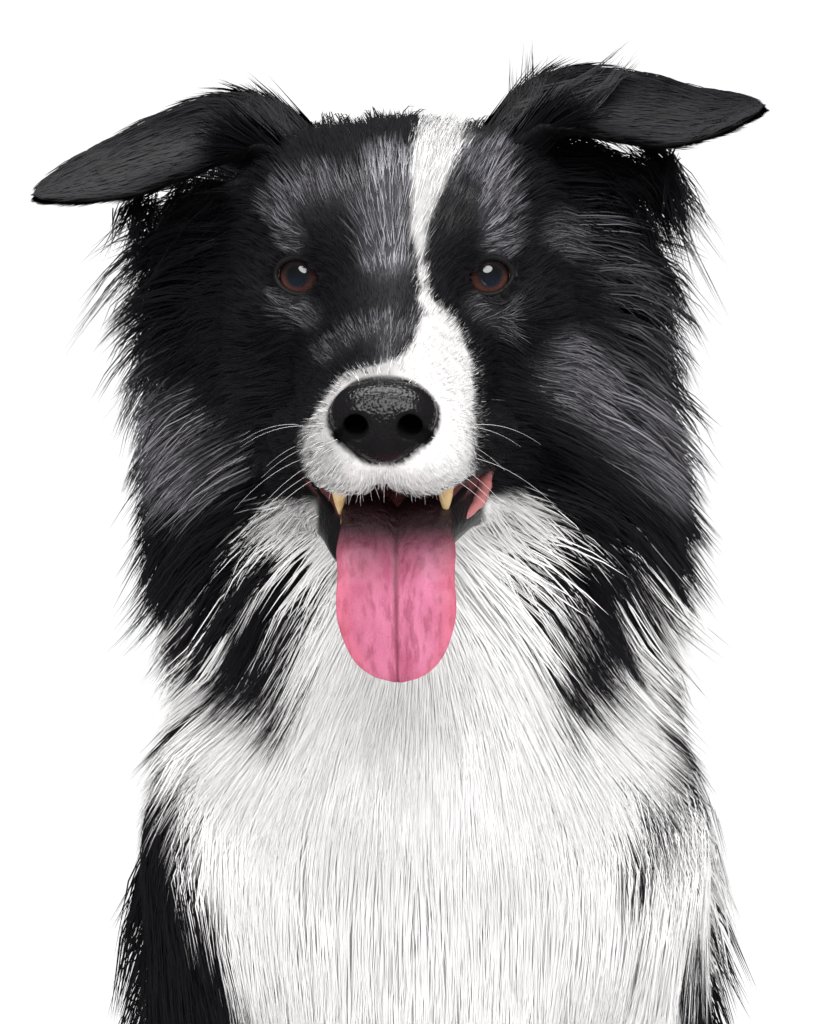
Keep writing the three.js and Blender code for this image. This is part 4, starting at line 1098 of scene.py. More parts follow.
@dataclass
class Hide:
    """One skin over the whole dog, as a net of quads through a grid that is finer round the face."""

    coarse: float = 5.0
    fine: float = 1.7
    block: int = 4
    low: tuple[float, float, float] = (-168.0, -272.0, -4.0)
    high: tuple[float, float, float] = (182.0, 508.0, 648.0)
    fine_low: tuple[float, float, float] = (-62.0, -272.0, 462.0)
    fine_high: tuple[float, float, float] = (38.0, -128.0, 602.0)
    vertices: Array = field(init=False)
    faces: Array = field(init=False)
    normals: Array = field(init=False)

    def axis(self, i: int) -> Array:
        """Grid lines along one axis: fine steps between two marks and coarse ones outside them."""
        marks = [self.low[i], self.fine_low[i], self.fine_high[i], self.high[i]]
        steps = [self.coarse, self.fine, self.coarse]
        runs = [np.linspace(a, b, max(int(round((b - a) / s)), 1), endpoint=False)
                for a, b, s in zip(marks, marks[1:], steps) if b > a]
        lines = np.concatenate(runs)
        spare = -len(lines) % self.block
        return np.concatenate([lines, marks[-1] + self.coarse * np.arange(spare)])

    def sampled(self, axes: list[Array]) -> Array:
        """Distances on the grid: exact in blocks near the skin, and each block's middle value elsewhere."""
        b = self.block
        middles = [a.reshape(-1, b).mean(axis=1) for a in axes]
        spans = [a.reshape(-1, b)[:, -1] - a.reshape(-1, b)[:, 0] + self.coarse for a in axes]
        centres = np.stack(np.meshgrid(*middles, indexing="ij"), axis=-1)
        reach = np.linalg.norm(np.stack(np.meshgrid(*spans, indexing="ij"), axis=-1), axis=-1) * 0.62 + 7.0
        rough = skin_distance(centres)
        values = rough.repeat(b, 0).repeat(b, 1).repeat(b, 2)
        near = (np.abs(rough) < reach).repeat(b, 0).repeat(b, 1).repeat(b, 2)
        i, j, k = np.nonzero(near)
        exact = np.empty(len(i))
        for start in range(0, len(i), 200_000):
            s = slice(start, start + 200_000)
            exact[s] = skin_distance(np.stack([axes[0][i[s]], axes[1][j[s]], axes[2][k[s]]], axis=-1))
        values[i, j, k] = exact
        return values

    def build(self) -> None:
        """Nets the skin."""
        axes = [self.axis(i) for i in range(3)]
        self.vertices, self.faces = net_surface(axes, self.sampled(axes))
        self.settle()

    def settle(self) -> None:
        """Moves each vertex onto the exact skin along its outward direction, by at most 1.5 mm."""
        for _ in range(2):
            n = gradient(skin_distance, self.vertices)
            d = np.clip(skin_distance(self.vertices), -1.5, 1.5)
            self.vertices = self.vertices - n * (0.9 * d)[:, None]
        self.normals = gradient(skin_distance, self.vertices, 1.5)
        self.vertices[:, 2] = np.maximum(self.vertices[:, 2], SOLE_GAP)

    def bare(self) -> tuple[Array, Array]:
        """Where the skin is bare, and where that is inside the mouth."""
        p = self.vertices
        x, y, z = from_head(p).T
        near_mouth = (y < 40) & (z < -50) & (z > -112) & (np.abs(x) < 48)
        facing = smoothstep(-skin_distance(p + 11.0 * self.normals), -7.0, -3.0)
        mouth = facing * smoothstep(NOSE.skin(p), 4.0, 7.0) * near_mouth
        lids = 1.0 - smoothstep(beside_eyes(p), 1.0, 2.0)
        snout = 1.0 - smoothstep(NOSE.skin(p), 0.5, 2.0)
        soles = smoothstep(-self.normals[:, 2], 0.6, 0.9) * (p[:, 2] < 14)
        return np.max([mouth, lids, snout, soles, on_lower_lip(p)], axis=0), mouth

    def piece(self) -> bpy.types.Object:
        """The skin as a piece that stands for every node of flesh."""
        skin = mesh_object("skin", self.vertices, self.faces)
        bare, mouth = self.bare()
        dimmed = 1 - 0.6 * MARKINGS.pepper(self.vertices)
        add_attribute(skin, "white", MARKINGS.white(self.vertices) * dimmed)
        # Painted sheen for the skin under the black coat.
        add_attribute(skin, "grey", MARKINGS.grey(self.vertices))
        add_attribute(skin, "bare", bare)
        add_attribute(skin, "mouth", mouth)
        flesh = ["head", "jaw", "neck", "chest", "trunk", "tail_base", "tail_tip"]
        paired = ("foreleg", "forepaw", "thigh", "hindfoot")
        flesh += [f"{part}_{side.name.lower()}" for part in paired for side in Side]
        return dress(skin, SkinFinish().make(), "black_coat", *flesh)


# ---------------------------------------------------------------------------------------- lie of the coat
NOSE_TIP = on_head(0, -92, -46)
TAIL_AXIS = spline(ANATOMY.tail_path, np.linspace(0, 1, 60))
TAIL_WAYS = unit(np.gradient(TAIL_AXIS, axis=0))


def lie(p: Array) -> Array:
    """The way that the hair runs: away from the nose and the more downwards the further it is from the face,
    forward over the paws, and along the tail."""
    away = p - NOSE_TIP
    loose = smoothstep(np.linalg.norm(away, axis=-1), 105.0, 205.0)
    low_neck = smoothstep(-p[:, 2], -500.0, -440.0)
    below = 0.8 * smoothstep(-away[:, 2], 62.0, 105.0)
    away = unit(away)
    way = np.stack([away[:, 0] * (1 - 0.7 * loose - 0.2 * low_neck * loose) * (1 - below), away[:, 1],
                    away[:, 2] - (1.0 + 0.9 * low_neck) * loose], axis=-1)
    low = 1.0 - smoothstep(p[:, 2], 25.0, 60.0)
    way = way + np.stack([0 * low, -1.6 * low * (p[:, 1] < 200), 0 * low], axis=-1)
    tail = smoothstep(p[:, 1], 285.0, 320.0)[:, None]
    if tail.max() > 0:
        near = np.argmin(np.linalg.norm(p[:, None, :] - TAIL_AXIS[None, ::4], axis=-1), axis=1) * 4
        along = TAIL_WAYS[near] + 0.35 * unit(p - TAIL_AXIS[near])
        way = blend(way, along, tail)
    return unit(way)


# ------------------------------------------------------------------------------------------------ the coat
@dataclass(frozen=True)
class Unwrap:
    """A flat map of skin round an axis: the turn about it across, and the way along it up."""

    axis: Array
    paired: bool = False

    def place(self, p: Array) -> Array:
        """Map coordinates from 0 to 1 of places near the axis."""
        middle = self.axis.mean(axis=0)
        mirrored_p = p.copy()
        if self.paired:
            mirrored_p[:, 0] = np.abs(p[:, 0])
        start, end = self.axis[0], self.axis[-1]
        way = unit(end - start)
        length = np.linalg.norm(end - start)
        up = unit(np.cross(way, [1.0, 0.02, 0.0]))
        side = np.cross(up, way)
        q = mirrored_p - start
        along = np.clip((q @ way + 0.5 * length) / (2.0 * length), 0.0, 1.0)
        turn = np.arctan2((mirrored_p - middle) @ side, (mirrored_p - middle) @ up) / (2 * np.pi) + 0.5
        if self.paired:
            turn = 0.5 * turn + 0.5 * (p[:, 0] > 0)
        return np.stack([0.01 + 0.98 * turn, 0.01 + 0.98 * along], axis=-1)


@dataclass(frozen=True)
class Growth:
    """One stretch of coat: where it grows and how.

    where tells, from places on the skin, their outward directions and the length of hair there, the share
    of hair that this stretch has. steps counts the lengths that a hair is made of, stand and low_stand say
    how far its tip stands off, as a share of its length, above and below the neck, and uneven how much that
    varies.
    """

    name: str
    slot: str
    where: Callable[[Array, Array, Array], Array]
    unwrap: Unwrap
    hairs: int
    steps: int
    width: float
    per_tuft: int = 8
    clumping: float = 0.6
    stand: float = 0.1
    low_stand: float = 0.45
    side_stand: float = 0.0
    waves: float = 1.0
    stray: float = 0.05
    uneven: float = 1.0


@dataclass
class Strands:
    """Hairs as rows of points, with what each carries."""

    paths: Array  # hairs, stations, 3
    ups: Array
    widths: Array
    white: Array  # hairs, stations
    grey: Array
    tone: Array
    roots: Array


@dataclass
class Coat:
    """Hair over the skin, grown stretch by stretch."""

    hide: Hide
    seed: int = 7
    tuft_patch: float = 0.0015  # half the width of a hair's patch of the map
    softness: float = 0.82  # how far a hair shades like the skin under it
    rise: float = 0.65  # the power by which a hair rises off the skin
    shown: float = 0.72  # the place along a long hair that gives it its colour
    short: float = 26.0  # hairs under this length are peppered

    def __post_init__(self) -> None:
        """Measures the skin's faces once."""
        corners = self.hide.vertices[self.hide.faces]
        self.centres = corners.mean(axis=1)
        cross = np.cross(corners[:, 2] - corners[:, 0], corners[:, 3] - corners[:, 1])
        self.areas = np.linalg.norm(cross, axis=-1) / 2
        self.normals = unit(cross)
        d, self.fur, self.hair = UPPER.sample(self.centres)
        dj, fur_j, hair_j = JAW.sample(self.centres)
        on_jaw = (dj - CORE * fur_j) < (d - CORE * self.fur)
        self.fur = np.where(on_jaw, fur_j, self.fur)
        self.hair = np.where(on_jaw, hair_j, self.hair)
        self.open = self.covered()

    def covered(self) -> Array:
        """The share of hair by place: none on lids, nose, soles and inside the mouth."""
        p, n = self.centres, self.normals
        x, y, z = from_head(p).T
        beside = (y < 8) & (z < -60) & (z > -106) & (n[:, 0] * np.sign(x) > -0.2)
        crevice = smoothstep(coat_distance(p + 9.0 * n), 3.5, 6.5)
        crevice = np.maximum(crevice, beside * smoothstep(np.abs(x), 24.0, 28.0))
        lids = smoothstep(beside_eyes(p), 1.0, 2.0)
        snout = smoothstep(NOSE.skin(p), 1.0, 2.2)
        soles = 1.0 - smoothstep(-n[:, 2], 0.5, 0.8) * (p[:, 2] < 14)
        return crevice * lids * snout * soles * (1.0 - on_lower_lip(p))

    def length(self, p: Array, n: Array, hair: Array) -> Array:
        """The hair's length: shorter by the eyes and nose, with long feathering behind the forelegs."""
        hair = np.minimum(hair, 2.6 + 0.55 * np.maximum(beside_eyes(p) - 1.0, 0.0))
        hair = np.minimum(hair, 3.0 + 0.4 * np.maximum(NOSE.skin(p), 0.0))
        x, y, z = p.T
        behind = smoothstep(n[:, 1], 0.2, 0.8) * (y < 0) * smoothstep(z, 95, 140) * (z < 265)
        breeches = smoothstep(n[:, 1], 0.1, 0.7) * (y > 120) * (z < 240) * (y < 300)
        head_x, head_y, head_z = from_head(p).T
        jowl = smoothstep(head_y, -34.0, -14.0) * smoothstep(-head_z, 72.0, 82.0) * (head_y < 60)
        hair = hair + 16.0 * jowl * (np.abs(head_x) > 18)
        return hair + 42.0 * behind * (np.abs(x) > 30) + 18.0 * breeches

    def roots(self, growth: Growth, random: np.random.Generator) -> tuple[Array, Array, Array]:
        """Evenly spread roots of tufts, and each tuft's spacing.

        Faces are taken by their area times their density, at even steps through their running total with a
        random start in each step.

        Args:
            growth: The stretch of coat.
            random: The source of random draws.

        Returns:
            Places, outward directions and spacings.
        """
        hair = self.length(self.centres, self.normals, self.hair)
        share = growth.where(self.centres, self.normals, hair) * self.open
        density = share / (hair + 6.0) ** 1.15
        total = np.cumsum(self.areas * density)
        count = max(growth.hairs // growth.per_tuft, 1)
        draws = (np.arange(count) + random.random(count)) / count * total[-1]
        chosen = np.minimum(np.searchsorted(total, draws), len(total) - 1)
        corners = self.hide.vertices[self.hide.faces[chosen]]
        u, v = random.random((2, count, 1))
        p = (corners[:, 0] * (1 - u) * (1 - v) + corners[:, 1] * u * (1 - v)
             + corners[:, 2] * u * v + corners[:, 3] * (1 - u) * v)
        per_area = count * density[chosen] / total[-1]
        return p, self.normals[chosen], 1.0 / np.sqrt(np.maximum(per_area, 1e-6))

    def spread(self, p: Array, n: Array, spacing: Array, each: int, random: np.random.Generator) -> Array:
        """The roots of every hair: a disc of them round each tuft's root, laid back on the skin."""
        side = unit(np.cross(n, [0.31, 0.52, 0.79]))
        other = np.cross(n, side)
        radius = (spacing[:, None] * 0.78) * np.sqrt(random.random((len(p), each)))
        radius[:, 0] = 0.0
        turn = random.random((len(p), each)) * 2 * np.pi
        spots = (p[:, None] + side[:, None] * (radius * np.cos(turn))[..., None]
                 + other[:, None] * (radius * np.sin(turn))[..., None]).reshape(-1, 3)
        for _ in range(2):
            spots = spots - gradient(coat_distance, spots) * coat_distance(spots)[:, None]
        return spots

    def grow(self, growth: Growth) -> Strands:
        """Marches each hair over the body.

        At each step a hair moves on along the lie of the coat and is set at its height over the skin, which
        rises with a power of the way along it. Hairs of a tuft draw together towards their tips, and long
        ones wave from side to side. A long hair takes one marking, near that of its tuft, and a short one
        takes the marking at each of its points.

        Args:
            growth: The stretch of coat.

        Returns:
            The hairs.
        """
        random = np.random.default_rng(self.seed + sum(map(ord, growth.name)))
        tuft_roots, tuft_normals, spacing = self.roots(growth, random)
        each = growth.per_tuft
        roots = self.spread(tuft_roots, tuft_normals, spacing, each, random)
        count = len(roots)
        tuft = np.repeat(np.arange(len(tuft_roots)), each)
        normal = gradient(coat_distance, roots)
        _, fur, hair = UPPER.sample(roots)
        dj, fur_j, hair_j = JAW.sample(roots)
        on_jaw = np.abs(dj - CORE * fur_j) < 0.4
        fur, hair = np.where(on_jaw, fur_j, fur), np.where(on_jaw, hair_j, hair)
        length = self.length(roots, normal, hair)
        length *= (0.82 + 0.3 * random.random(len(tuft_roots)))[tuft] * (0.72 + 0.4 * random.random(count))
        high = smoothstep(roots[:, 2], 445.0, 505.0)
        sides = smoothstep(np.abs(normal[:, 0]), 0.3, 0.8)
        stand = growth.stand * blend(growth.low_stand, 1.0, high) + growth.side_stand * high * sides
        waist = np.exp(-((roots[:, 2] - 428.0) / 32.0) ** 2)
        flanks = 0.09 * smoothstep(-roots[:, 2], -385.0, -345.0) * smoothstep(roots[:, 2], 150.0, 250.0)
        stand = stand + flanks * sides * (roots[:, 1] < 40)
        depth = (1 - CORE) * fur * (1.0 - 0.3 * np.maximum(waist, 1.0 - high - sides)) + stand * length
        uneven = growth.uneven
        depth *= (0.975 + 0.45 * uneven * (random.random(len(tuft_roots)) - 0.5))[tuft]
        depth *= 0.9 + 0.5 * uneven * (random.random(count) - 0.5)
        stray_tuft = random.normal(size=(len(tuft_roots), 3)) * growth.stray * 1.6
        stray = stray_tuft[tuft] + random.normal(size=(count, 3)) * growth.stray
        stations = np.empty((count, growth.steps + 1, 3))
        ups = np.empty_like(stations)
        stations[:, 0] = roots - normal * 0.6
        ups[:, 0] = normal
        place = roots
        for k in range(1, growth.steps + 1):
            u = k / growth.steps
            way = lie(place) + stray
            way = unit(way - normal * np.einsum("ij,ij->i", way, normal)[:, None])
            place = place + way * (length / growth.steps)[:, None]
            normal = unit(gradient(coat_distance, place) + 0.6 * normal)
            height = depth * u**self.rise
            place = place + normal * (height - coat_distance(place))[:, None]
            place[:, 2] = np.maximum(place[:, 2], HAIR_GAP)
            stations[:, k] = place
            ups[:, k] = normal
        guide = stations[np.arange(len(tuft_roots)) * each][tuft]
        u = np.linspace(0, 1, growth.steps + 1)
        pull = growth.clumping * u**1.4
        offset = (guide - stations) * pull[None, :, None]
        offset[:, 0] = 0.0
        stations = stations + offset
        sideways = np.cross(ups, np.gradient(stations, axis=1))
        sideways = unit(sideways)
        phase = (random.random(len(tuft_roots)) * 2 * np.pi)[tuft]
        swing = growth.waves * (length / 60.0) * 1.8
        bends = np.sin(phase[:, None] + u[None, :] * (2.2 + length[:, None] / 26.0))
        wave = bends * u[None, :] * swing[:, None]
        stations = stations + sideways * wave[..., None]
        stations[..., 2] = np.maximum(stations[..., 2], HAIR_GAP)
        width = growth.width * (0.5 + 0.5 * np.minimum(length / 60.0, 1.0))
        width *= 0.8 + 0.4 * random.random(count)
        seen = growth.steps * smoothstep(length, 10.0, 60.0) * self.shown
        lower = np.minimum(seen.astype(int), growth.steps - 1)
        rows = np.arange(count)
        spots = blend(stations[rows, lower], stations[rows, lower + 1], (seen - lower)[:, None])
        wander = random.normal(size=roots.shape) * (0.5 + 0.05 * length)[:, None]
        darker = MARKINGS.pepper(roots) * random.random(count) * (length < self.short)
        first = (np.arange(len(tuft_roots)) * each)[tuft]
        lock = MARKINGS.white(blend(spots, spots[first], 0.8) + 0.8 * wander[first] + 0.35 * wander)
        whole = smoothstep(length, 24.0, 36.0)[:, None]
        lock = smoothstep(lock, 0.35, 0.65)[:, None]
        white = blend(MARKINGS.white(stations + wander[:, None]), lock, whole) * (1.0 - darker)[:, None]
        # Painted sheen: each hair takes a random share of the sheen patches' grey where it shows.
        grey = np.clip(MARKINGS.grey(spots) * (0.10 + 1.7 * random.random(count) ** 2.2), 0, 1)
        tone = np.clip(0.5 * random.random(len(tuft_roots))[tuft] + 0.5 * random.random(count), 0, 1)
        return Strands(stations, ups, width, white, grey, tone, roots)

    def mesh(self, growth: Growth, strands: Strands) -> bpy.types.Object:
        """Makes hairs solid: three-sided rods that swell a little and taper to a point.

        Their shading directions lean towards the skin's, so that the coat shades as one soft surface.

        Args:
            growth: The stretch of coat.
            strands: Its hairs.

        Returns:
            The piece, with its markings stored on it and each hair a small patch of the map.
        """
        count, stations = strands.paths.shape[:2]
        rings = stations - 1
        u = np.linspace(0, 1, stations)[:-1]
        swell = (0.7 + 1.2 * u - 1.75 * u**2).clip(0.12)
        tangent = unit(np.gradient(strands.paths, axis=1))[:, :-1]
        side = unit(np.cross(strands.ups[:, :-1], tangent))
        up = np.cross(tangent, side)
        turn = np.radians([90.0, 210.0, 330.0])
        radius = 0.5 * strands.widths[:, None] * swell[None, :]
        around = (side[:, :, None] * np.cos(turn)[None, None, :, None]
                  + 0.7 * up[:, :, None] * np.sin(turn)[None, None, :, None])
        corners = strands.paths[:, :-1, None] + around * radius[:, :, None, None]
        soft = unit(self.softness * strands.ups[:, :-1, None] + (1 - self.softness) * around)
        soft = np.concatenate([soft.reshape(count, rings * 3, 3), strands.ups[:, -1:]], axis=1)
        verts = np.concatenate([corners.reshape(count, rings * 3, 3), strands.paths[:, -1:]], axis=1)
        per = rings * 3 + 1
        i, j = np.meshgrid(np.arange(rings - 1), np.arange(3), indexing="ij")
        a, b = (i * 3 + j).ravel(), (i * 3 + (j + 1) % 3).ravel()
        sides = np.concatenate([np.stack([a, b, b + 3], -1), np.stack([a, b + 3, a + 3], -1)])
        e = (rings - 1) * 3
        tip = np.array([[e, e + 1, per - 1], [e + 1, e + 2, per - 1], [e + 2, e, per - 1]])
        base = np.array([[2, 1, 0]])
        one = np.concatenate([sides, tip, base])
        faces = (one[None] + (np.arange(count) * per)[:, None, None]).reshape(-1, 3)
        piece = mesh_object(growth.name, verts.reshape(-1, 3), faces)
        piece.data.normals_split_custom_set_from_vertices(soft.reshape(-1, 3))
        along = np.concatenate([np.repeat(u, 3), [1.0]])
        add_attribute(piece, "along", np.tile(along, count))
        white = np.concatenate([np.repeat(strands.white[:, :-1], 3, axis=1), strands.white[:, -1:]], axis=1)
        add_attribute(piece, "white", white.ravel())
        for name in ("grey", "tone"):
            add_attribute(piece, name, np.repeat(getattr(strands, name), per))
        self.map(piece, growth, strands, along, faces, per)
        return piece

    def map(self, piece: bpy.types.Object, growth: Growth, strands: Strands, along: Array, faces: Array,
            per: int) -> None:
        """Gives each hair a patch of the map at its root's place on an unwrap of the skin."""
        spots = growth.unwrap.place(strands.roots)
        across = np.concatenate([np.tile([0.0, 1.0, -1.0], (per - 1) // 3), [0.0]])
        local = np.stack([across, 2 * along - 1], axis=-1) * self.tuft_patch
        coords = (spots[:, None] + local[None]).reshape(-1, 2)
        layer = piece.data.uv_layers.new(name="OFBake")
        layer.data.foreach_set("uv", coords[faces.ravel()].astype(np.float32).ravel())


class Cut(Enum):
    """The planes that part the dog, each a place and the way across it."""

    NECK = ((0, -88, 524), (0, 0.67, -0.74))
    CHEST = ((0, -76, 446), (0, 0.48, -0.88))
    TRUNK = ((0, 88, 300), (0, 0.75, -0.66))
    TAIL = ((0, 308, 50), (0, 0.86, -0.5))

    def past(self, p: Array) -> Array:
        """How far p lies beyond the cut."""
        at, way = (np.array(v, float) for v in self.value)
        return (p - at) @ unit(way)


def growths() -> list[Growth]:
    """The stretches of coat from nose to tail."""
    neck, chest, trunk, tail = (lambda p, cut=cut: cut.past(p) > 0 for cut in Cut)
    axis = lambda *points: np.array(points, float)
    head_axis = np.stack([on_head(0, 80, 0), on_head(0, -90, -45)])
    body_axis = axis((0, -70, 470), (0, 200, 150))
    leg = lambda p: (p[:, 2] < 250) & (p[:, 1] < 0) & (np.abs(p[:, 0]) > 18)
    haunch = lambda p: trunk(p) & ~tail(p) & (np.abs(p[:, 0]) > 60) & (p[:, 2] < 250)
    front = lambda p, n: n[:, 1] < 0.05
    muzzle = lambda p: from_head(p)[:, 1] < -6
    middle = lambda p: np.abs(p[:, 0]) < 58
    return [
        Growth("coat_muzzle", "face_coat", lambda p, n, h: (~neck(p) & muzzle(p)) * 1.0,
               Unwrap(head_axis), 11000, 2, 0.51, per_tuft=3, clumping=0.2, stand=0.05, waves=0.0,
               stray=0.07),
        Growth("coat_brow", "face_coat", lambda p, n, h: (~neck(p) & ~muzzle(p) & (h < 26)) * 1.0,
               Unwrap(head_axis), 14000, 2, 0.62, per_tuft=4, clumping=0.25, stand=0.06, waves=0.0),
        Growth("coat_cheeks", "face_coat", lambda p, n, h: (~neck(p) & ~muzzle(p) & (h >= 26)) * 1.0,
               Unwrap(head_axis), 8600, 3, 0.84, stand=0.25, side_stand=0.4, clumping=0.5, waves=0.6,
               stray=0.06),
        Growth("coat_throat", "white_coat",
               lambda p, n, h: (neck(p) & ~chest(p) & front(p, n) & middle(p)) * 1.0,
               Unwrap(body_axis), 14000, 2, 0.58, per_tuft=10, stand=0.09, clumping=0.4, waves=0.3,
               stray=0.03, uneven=0.5),
        Growth("coat_ruff_front", "black_coat",
               lambda p, n, h: (neck(p) & ~chest(p) & front(p, n) & ~middle(p)) * 1.0,
               Unwrap(body_axis), 8800, 3, 0.83, per_tuft=12, stand=0.15, side_stand=0.42, clumping=0.5,
               waves=0.6, stray=0.035),
        Growth("coat_ruff_back", "black_coat", lambda p, n, h: (neck(p) & ~chest(p) & ~front(p, n)) * 1.0,
               Unwrap(body_axis), 7500, 2, 1.2, stand=0.13, side_stand=0.32, waves=0.4),
        Growth("coat_bib", "white_coat",
               lambda p, n, h: (chest(p) & ~trunk(p) & ~leg(p) & front(p, n)) * 1.0,
               Unwrap(body_axis), 19500, 2, 0.58, per_tuft=12, stand=0.08, clumping=0.4, waves=0.3,
               stray=0.025, uneven=0.5),
        Growth("coat_shoulders", "black_coat",
               lambda p, n, h: (chest(p) & ~trunk(p) & ~leg(p) & ~front(p, n)) * 1.0,
               Unwrap(body_axis), 8500, 2, 1.2, stand=0.2, low_stand=1.0, waves=0.4),
        Growth("coat_back", "black_coat", lambda p, n, h: (trunk(p) & ~tail(p) & ~haunch(p)) * 1.0,
               Unwrap(body_axis), 6500, 2, 1.7, low_stand=1.0, waves=0.4),
        Growth("coat_haunches", "black_coat", lambda p, n, h: (haunch(p) & (h >= 22)) * 1.0,
               Unwrap(axis((90, 230, 60), (90, 80, 200)), True), 7000, 2, 1.5, low_stand=1.0, waves=0.4),
        Growth("coat_forelegs", "white_coat", lambda p, n, h: (leg(p) & ~trunk(p)) * 1.0,
               Unwrap(axis((62, -100, 260), (58, -110, 20)), True), 7600, 2, 0.86, per_tuft=6, waves=0.4),
        Growth("coat_hind_feet", "white_coat", lambda p, n, h: (haunch(p) & (h < 22)) * 1.0,
               Unwrap(axis((100, 230, 20), (105, 50, 20)), True), 3600, 2, 0.9, per_tuft=5, waves=0.4),
        Growth("coat_tail", "black_coat", lambda p, n, h: tail(p) * 1.0,
               Unwrap(axis((0, 290, 40), (150, 480, 20))), 3000, 3, 1.6, stand=0.2, low_stand=1.0),
    ]


# ------------------------------------------------------------------------------------------- head's pieces
@dataclass(frozen=True)
class Ear:
    """A leaf rolled into a cup at its root, carried out to the side with its back up."""

    side: Side
    path: Sequence[Sequence[float]]
    widths: Sequence[Sequence[float]] = (
        (0, 25), (0.25, 27), (0.5, 23.5), (0.7, 18.5), (0.85, 12.5), (0.94, 7.0), (1, 1.0))
    rows: int = 42
    half_columns: int = 15

    def frames(self, u: Array) -> tuple[Array, Array, Array, Array]:
        """The middle line at u, its way, and the directions across and outward."""
        s = self.side.value
        line = on_head(spline(np.array(self.path, float) * [s, 1, 1], u))
        tangent = unit(np.gradient(line, axis=0))
        lean = np.radians(blend(24.0, 46.0, u))
        across = -s * np.stack([0 * u, np.cos(lean), np.sin(lean)], axis=-1)
        outward_way = unit(np.cross(tangent, across))
        return line, tangent, np.cross(outward_way, tangent), outward_way

    def roll(self, u: Array) -> Array:
        """Half the turn of the arc across the leaf, which opens from 1.45 to 0.4 radians."""
        return blend(1.45, 0.4, np.minimum(1.0, u * 1.5))

    def wall(self, u: Array, t: Array) -> Array:
        """Half the leaf's thickness: thin at the tip and at the edges."""
        return blend(3.0, 1.3, u) * (1 - 0.6 * np.abs(t))

    def surface(self, u: Array, t: Array, lift: Array | float) -> Array:
        """Points of the leaf: across its width it is an arc.

        Args:
            u: Rows along the ear.
            t: Columns across, from -1 to 1.
            lift: How far the point stands off the middle of the wall.

        Returns:
            Rows by columns of points.
        """
        line, _, across, outward_way = self.frames(u)
        knots = np.array(self.widths, float)
        half = np.interp(u, knots[:, 0], knots[:, 1]) * (0.97 + 0.03 * np.sin(u * 9.0))
        roll = self.roll(u)
        arc = (half / roll)[:, None]
        turn = t[None, :] * roll[:, None]
        r = arc + lift
        x, y = r * np.sin(turn), r * np.cos(turn) - arc
        return line[:, None] + across[:, None] * x[..., None] + outward_way[:, None] * y[..., None]

    def build(self) -> bpy.types.Object:
        """The ear as a closed shell that replaces its node."""
        u = np.linspace(0.0, 0.985, self.rows)
        t = np.linspace(-1, 1, self.half_columns)
        wall = self.wall(u[:, None], t[None, :])
        back = self.surface(u, t, wall)
        hollow = self.surface(u, t[::-1], -wall[:, ::-1])
        shell = finish_shell(f"ear_leaf_{self.side.name.lower()}", np.concatenate([back, hollow], axis=1))
        for name in ("white", "grey", "bare", "mouth"):
            add_attribute(shell, name, np.zeros(len(shell.data.vertices)))
        return dress(shell, SkinFinish("ear_skin").make(), "ear_coat", f"ear_{self.side.name.lower()}")

    def strands(self, random: np.random.Generator, count: int) -> Strands:
        """Short hair over both faces of the ear, longer at its root."""
        u = random.random(count) ** 0.9 * 0.97
        t = random.uniform(-1, 1, count)
        order = np.argsort(u)
        u, t = u[order], t[order]
        back = random.random(count) < 0.62
        grid = np.linspace(0, 1, 200)
        grid_line, grid_tangent, grid_across, grid_outward = self.frames(grid)
        line = on_head(spline(np.array(self.path, float) * [self.side.value, 1, 1], u))
        index = np.minimum((u * 199).astype(int), 199)
        tangent, across, outward_way = grid_tangent[index], grid_across[index], grid_outward[index]
        knots = np.array(self.widths, float)
        half = np.interp(u, knots[:, 0], knots[:, 1])
        arc = half / self.roll(u)
        turn = t * self.roll(u)
        r = arc + self.wall(u, t) * np.where(back, 1.0, -1.0)
        root = line + across * (r * np.sin(turn))[:, None] + outward_way * (r * np.cos(turn) - arc)[:, None]
        normal = across * np.sin(turn)[:, None] + outward_way * np.cos(turn)[:, None]
        normal = normal * np.where(back, 1.0, -1.0)[:, None]
        rooty = smoothstep(-u, -0.35, -0.05)
        length = 9.0 + 9.0 * (1 - u) + 18.0 * rooty * random.random(count)
        length *= 0.75 + 0.5 * random.random(count)
        length = np.minimum(length, 3.0 + 75.0 * (1.0 - u))
        reach = np.cumsum(np.linalg.norm(np.diff(grid_line, axis=0, prepend=grid_line[:1]), axis=-1))
        closing = np.gradient(np.interp(grid, knots[:, 0], knots[:, 1])) / np.gradient(reach)
        way = unit(tangent + across * (t * closing[index])[:, None]
                   + random.normal(size=(count, 3)) * 0.03 + np.array([0, 0, 0.2]) * rooty[:, None])
        steps = np.linspace(0, 1, 3)
        rise = 0.045 * length + 0.2
        paths = (root[:, None] + way[:, None] * (length[:, None] * steps)[..., None]
                 + normal[:, None] * (rise[:, None] * steps**0.7)[..., None]
                 + np.array([0.0, 0.0, -1.0]) * (0.10 * length[:, None] * steps**2)[..., None])
        ups = np.repeat(normal[:, None], 3, axis=1)
        width = 0.51 * (0.7 + 0.5 * random.random(count)) * (1 + 0.6 * rooty)
        tone = random.random(count)
        return Strands(paths, ups, width, np.zeros(paths.shape[:2]), np.zeros(count), tone, root)


EARS = {
    Side.RIGHT: Ear(Side.RIGHT, [[38, 66, 32], [60, 68, 49], [84, 58, 45], [110, 46, 37], [137, 36, 30]]),
    Side.LEFT: Ear(Side.LEFT, [[38, 66, 32], [60, 68, 57], [86, 58, 59], [110, 46, 58], [137, 36, 63]]),
}


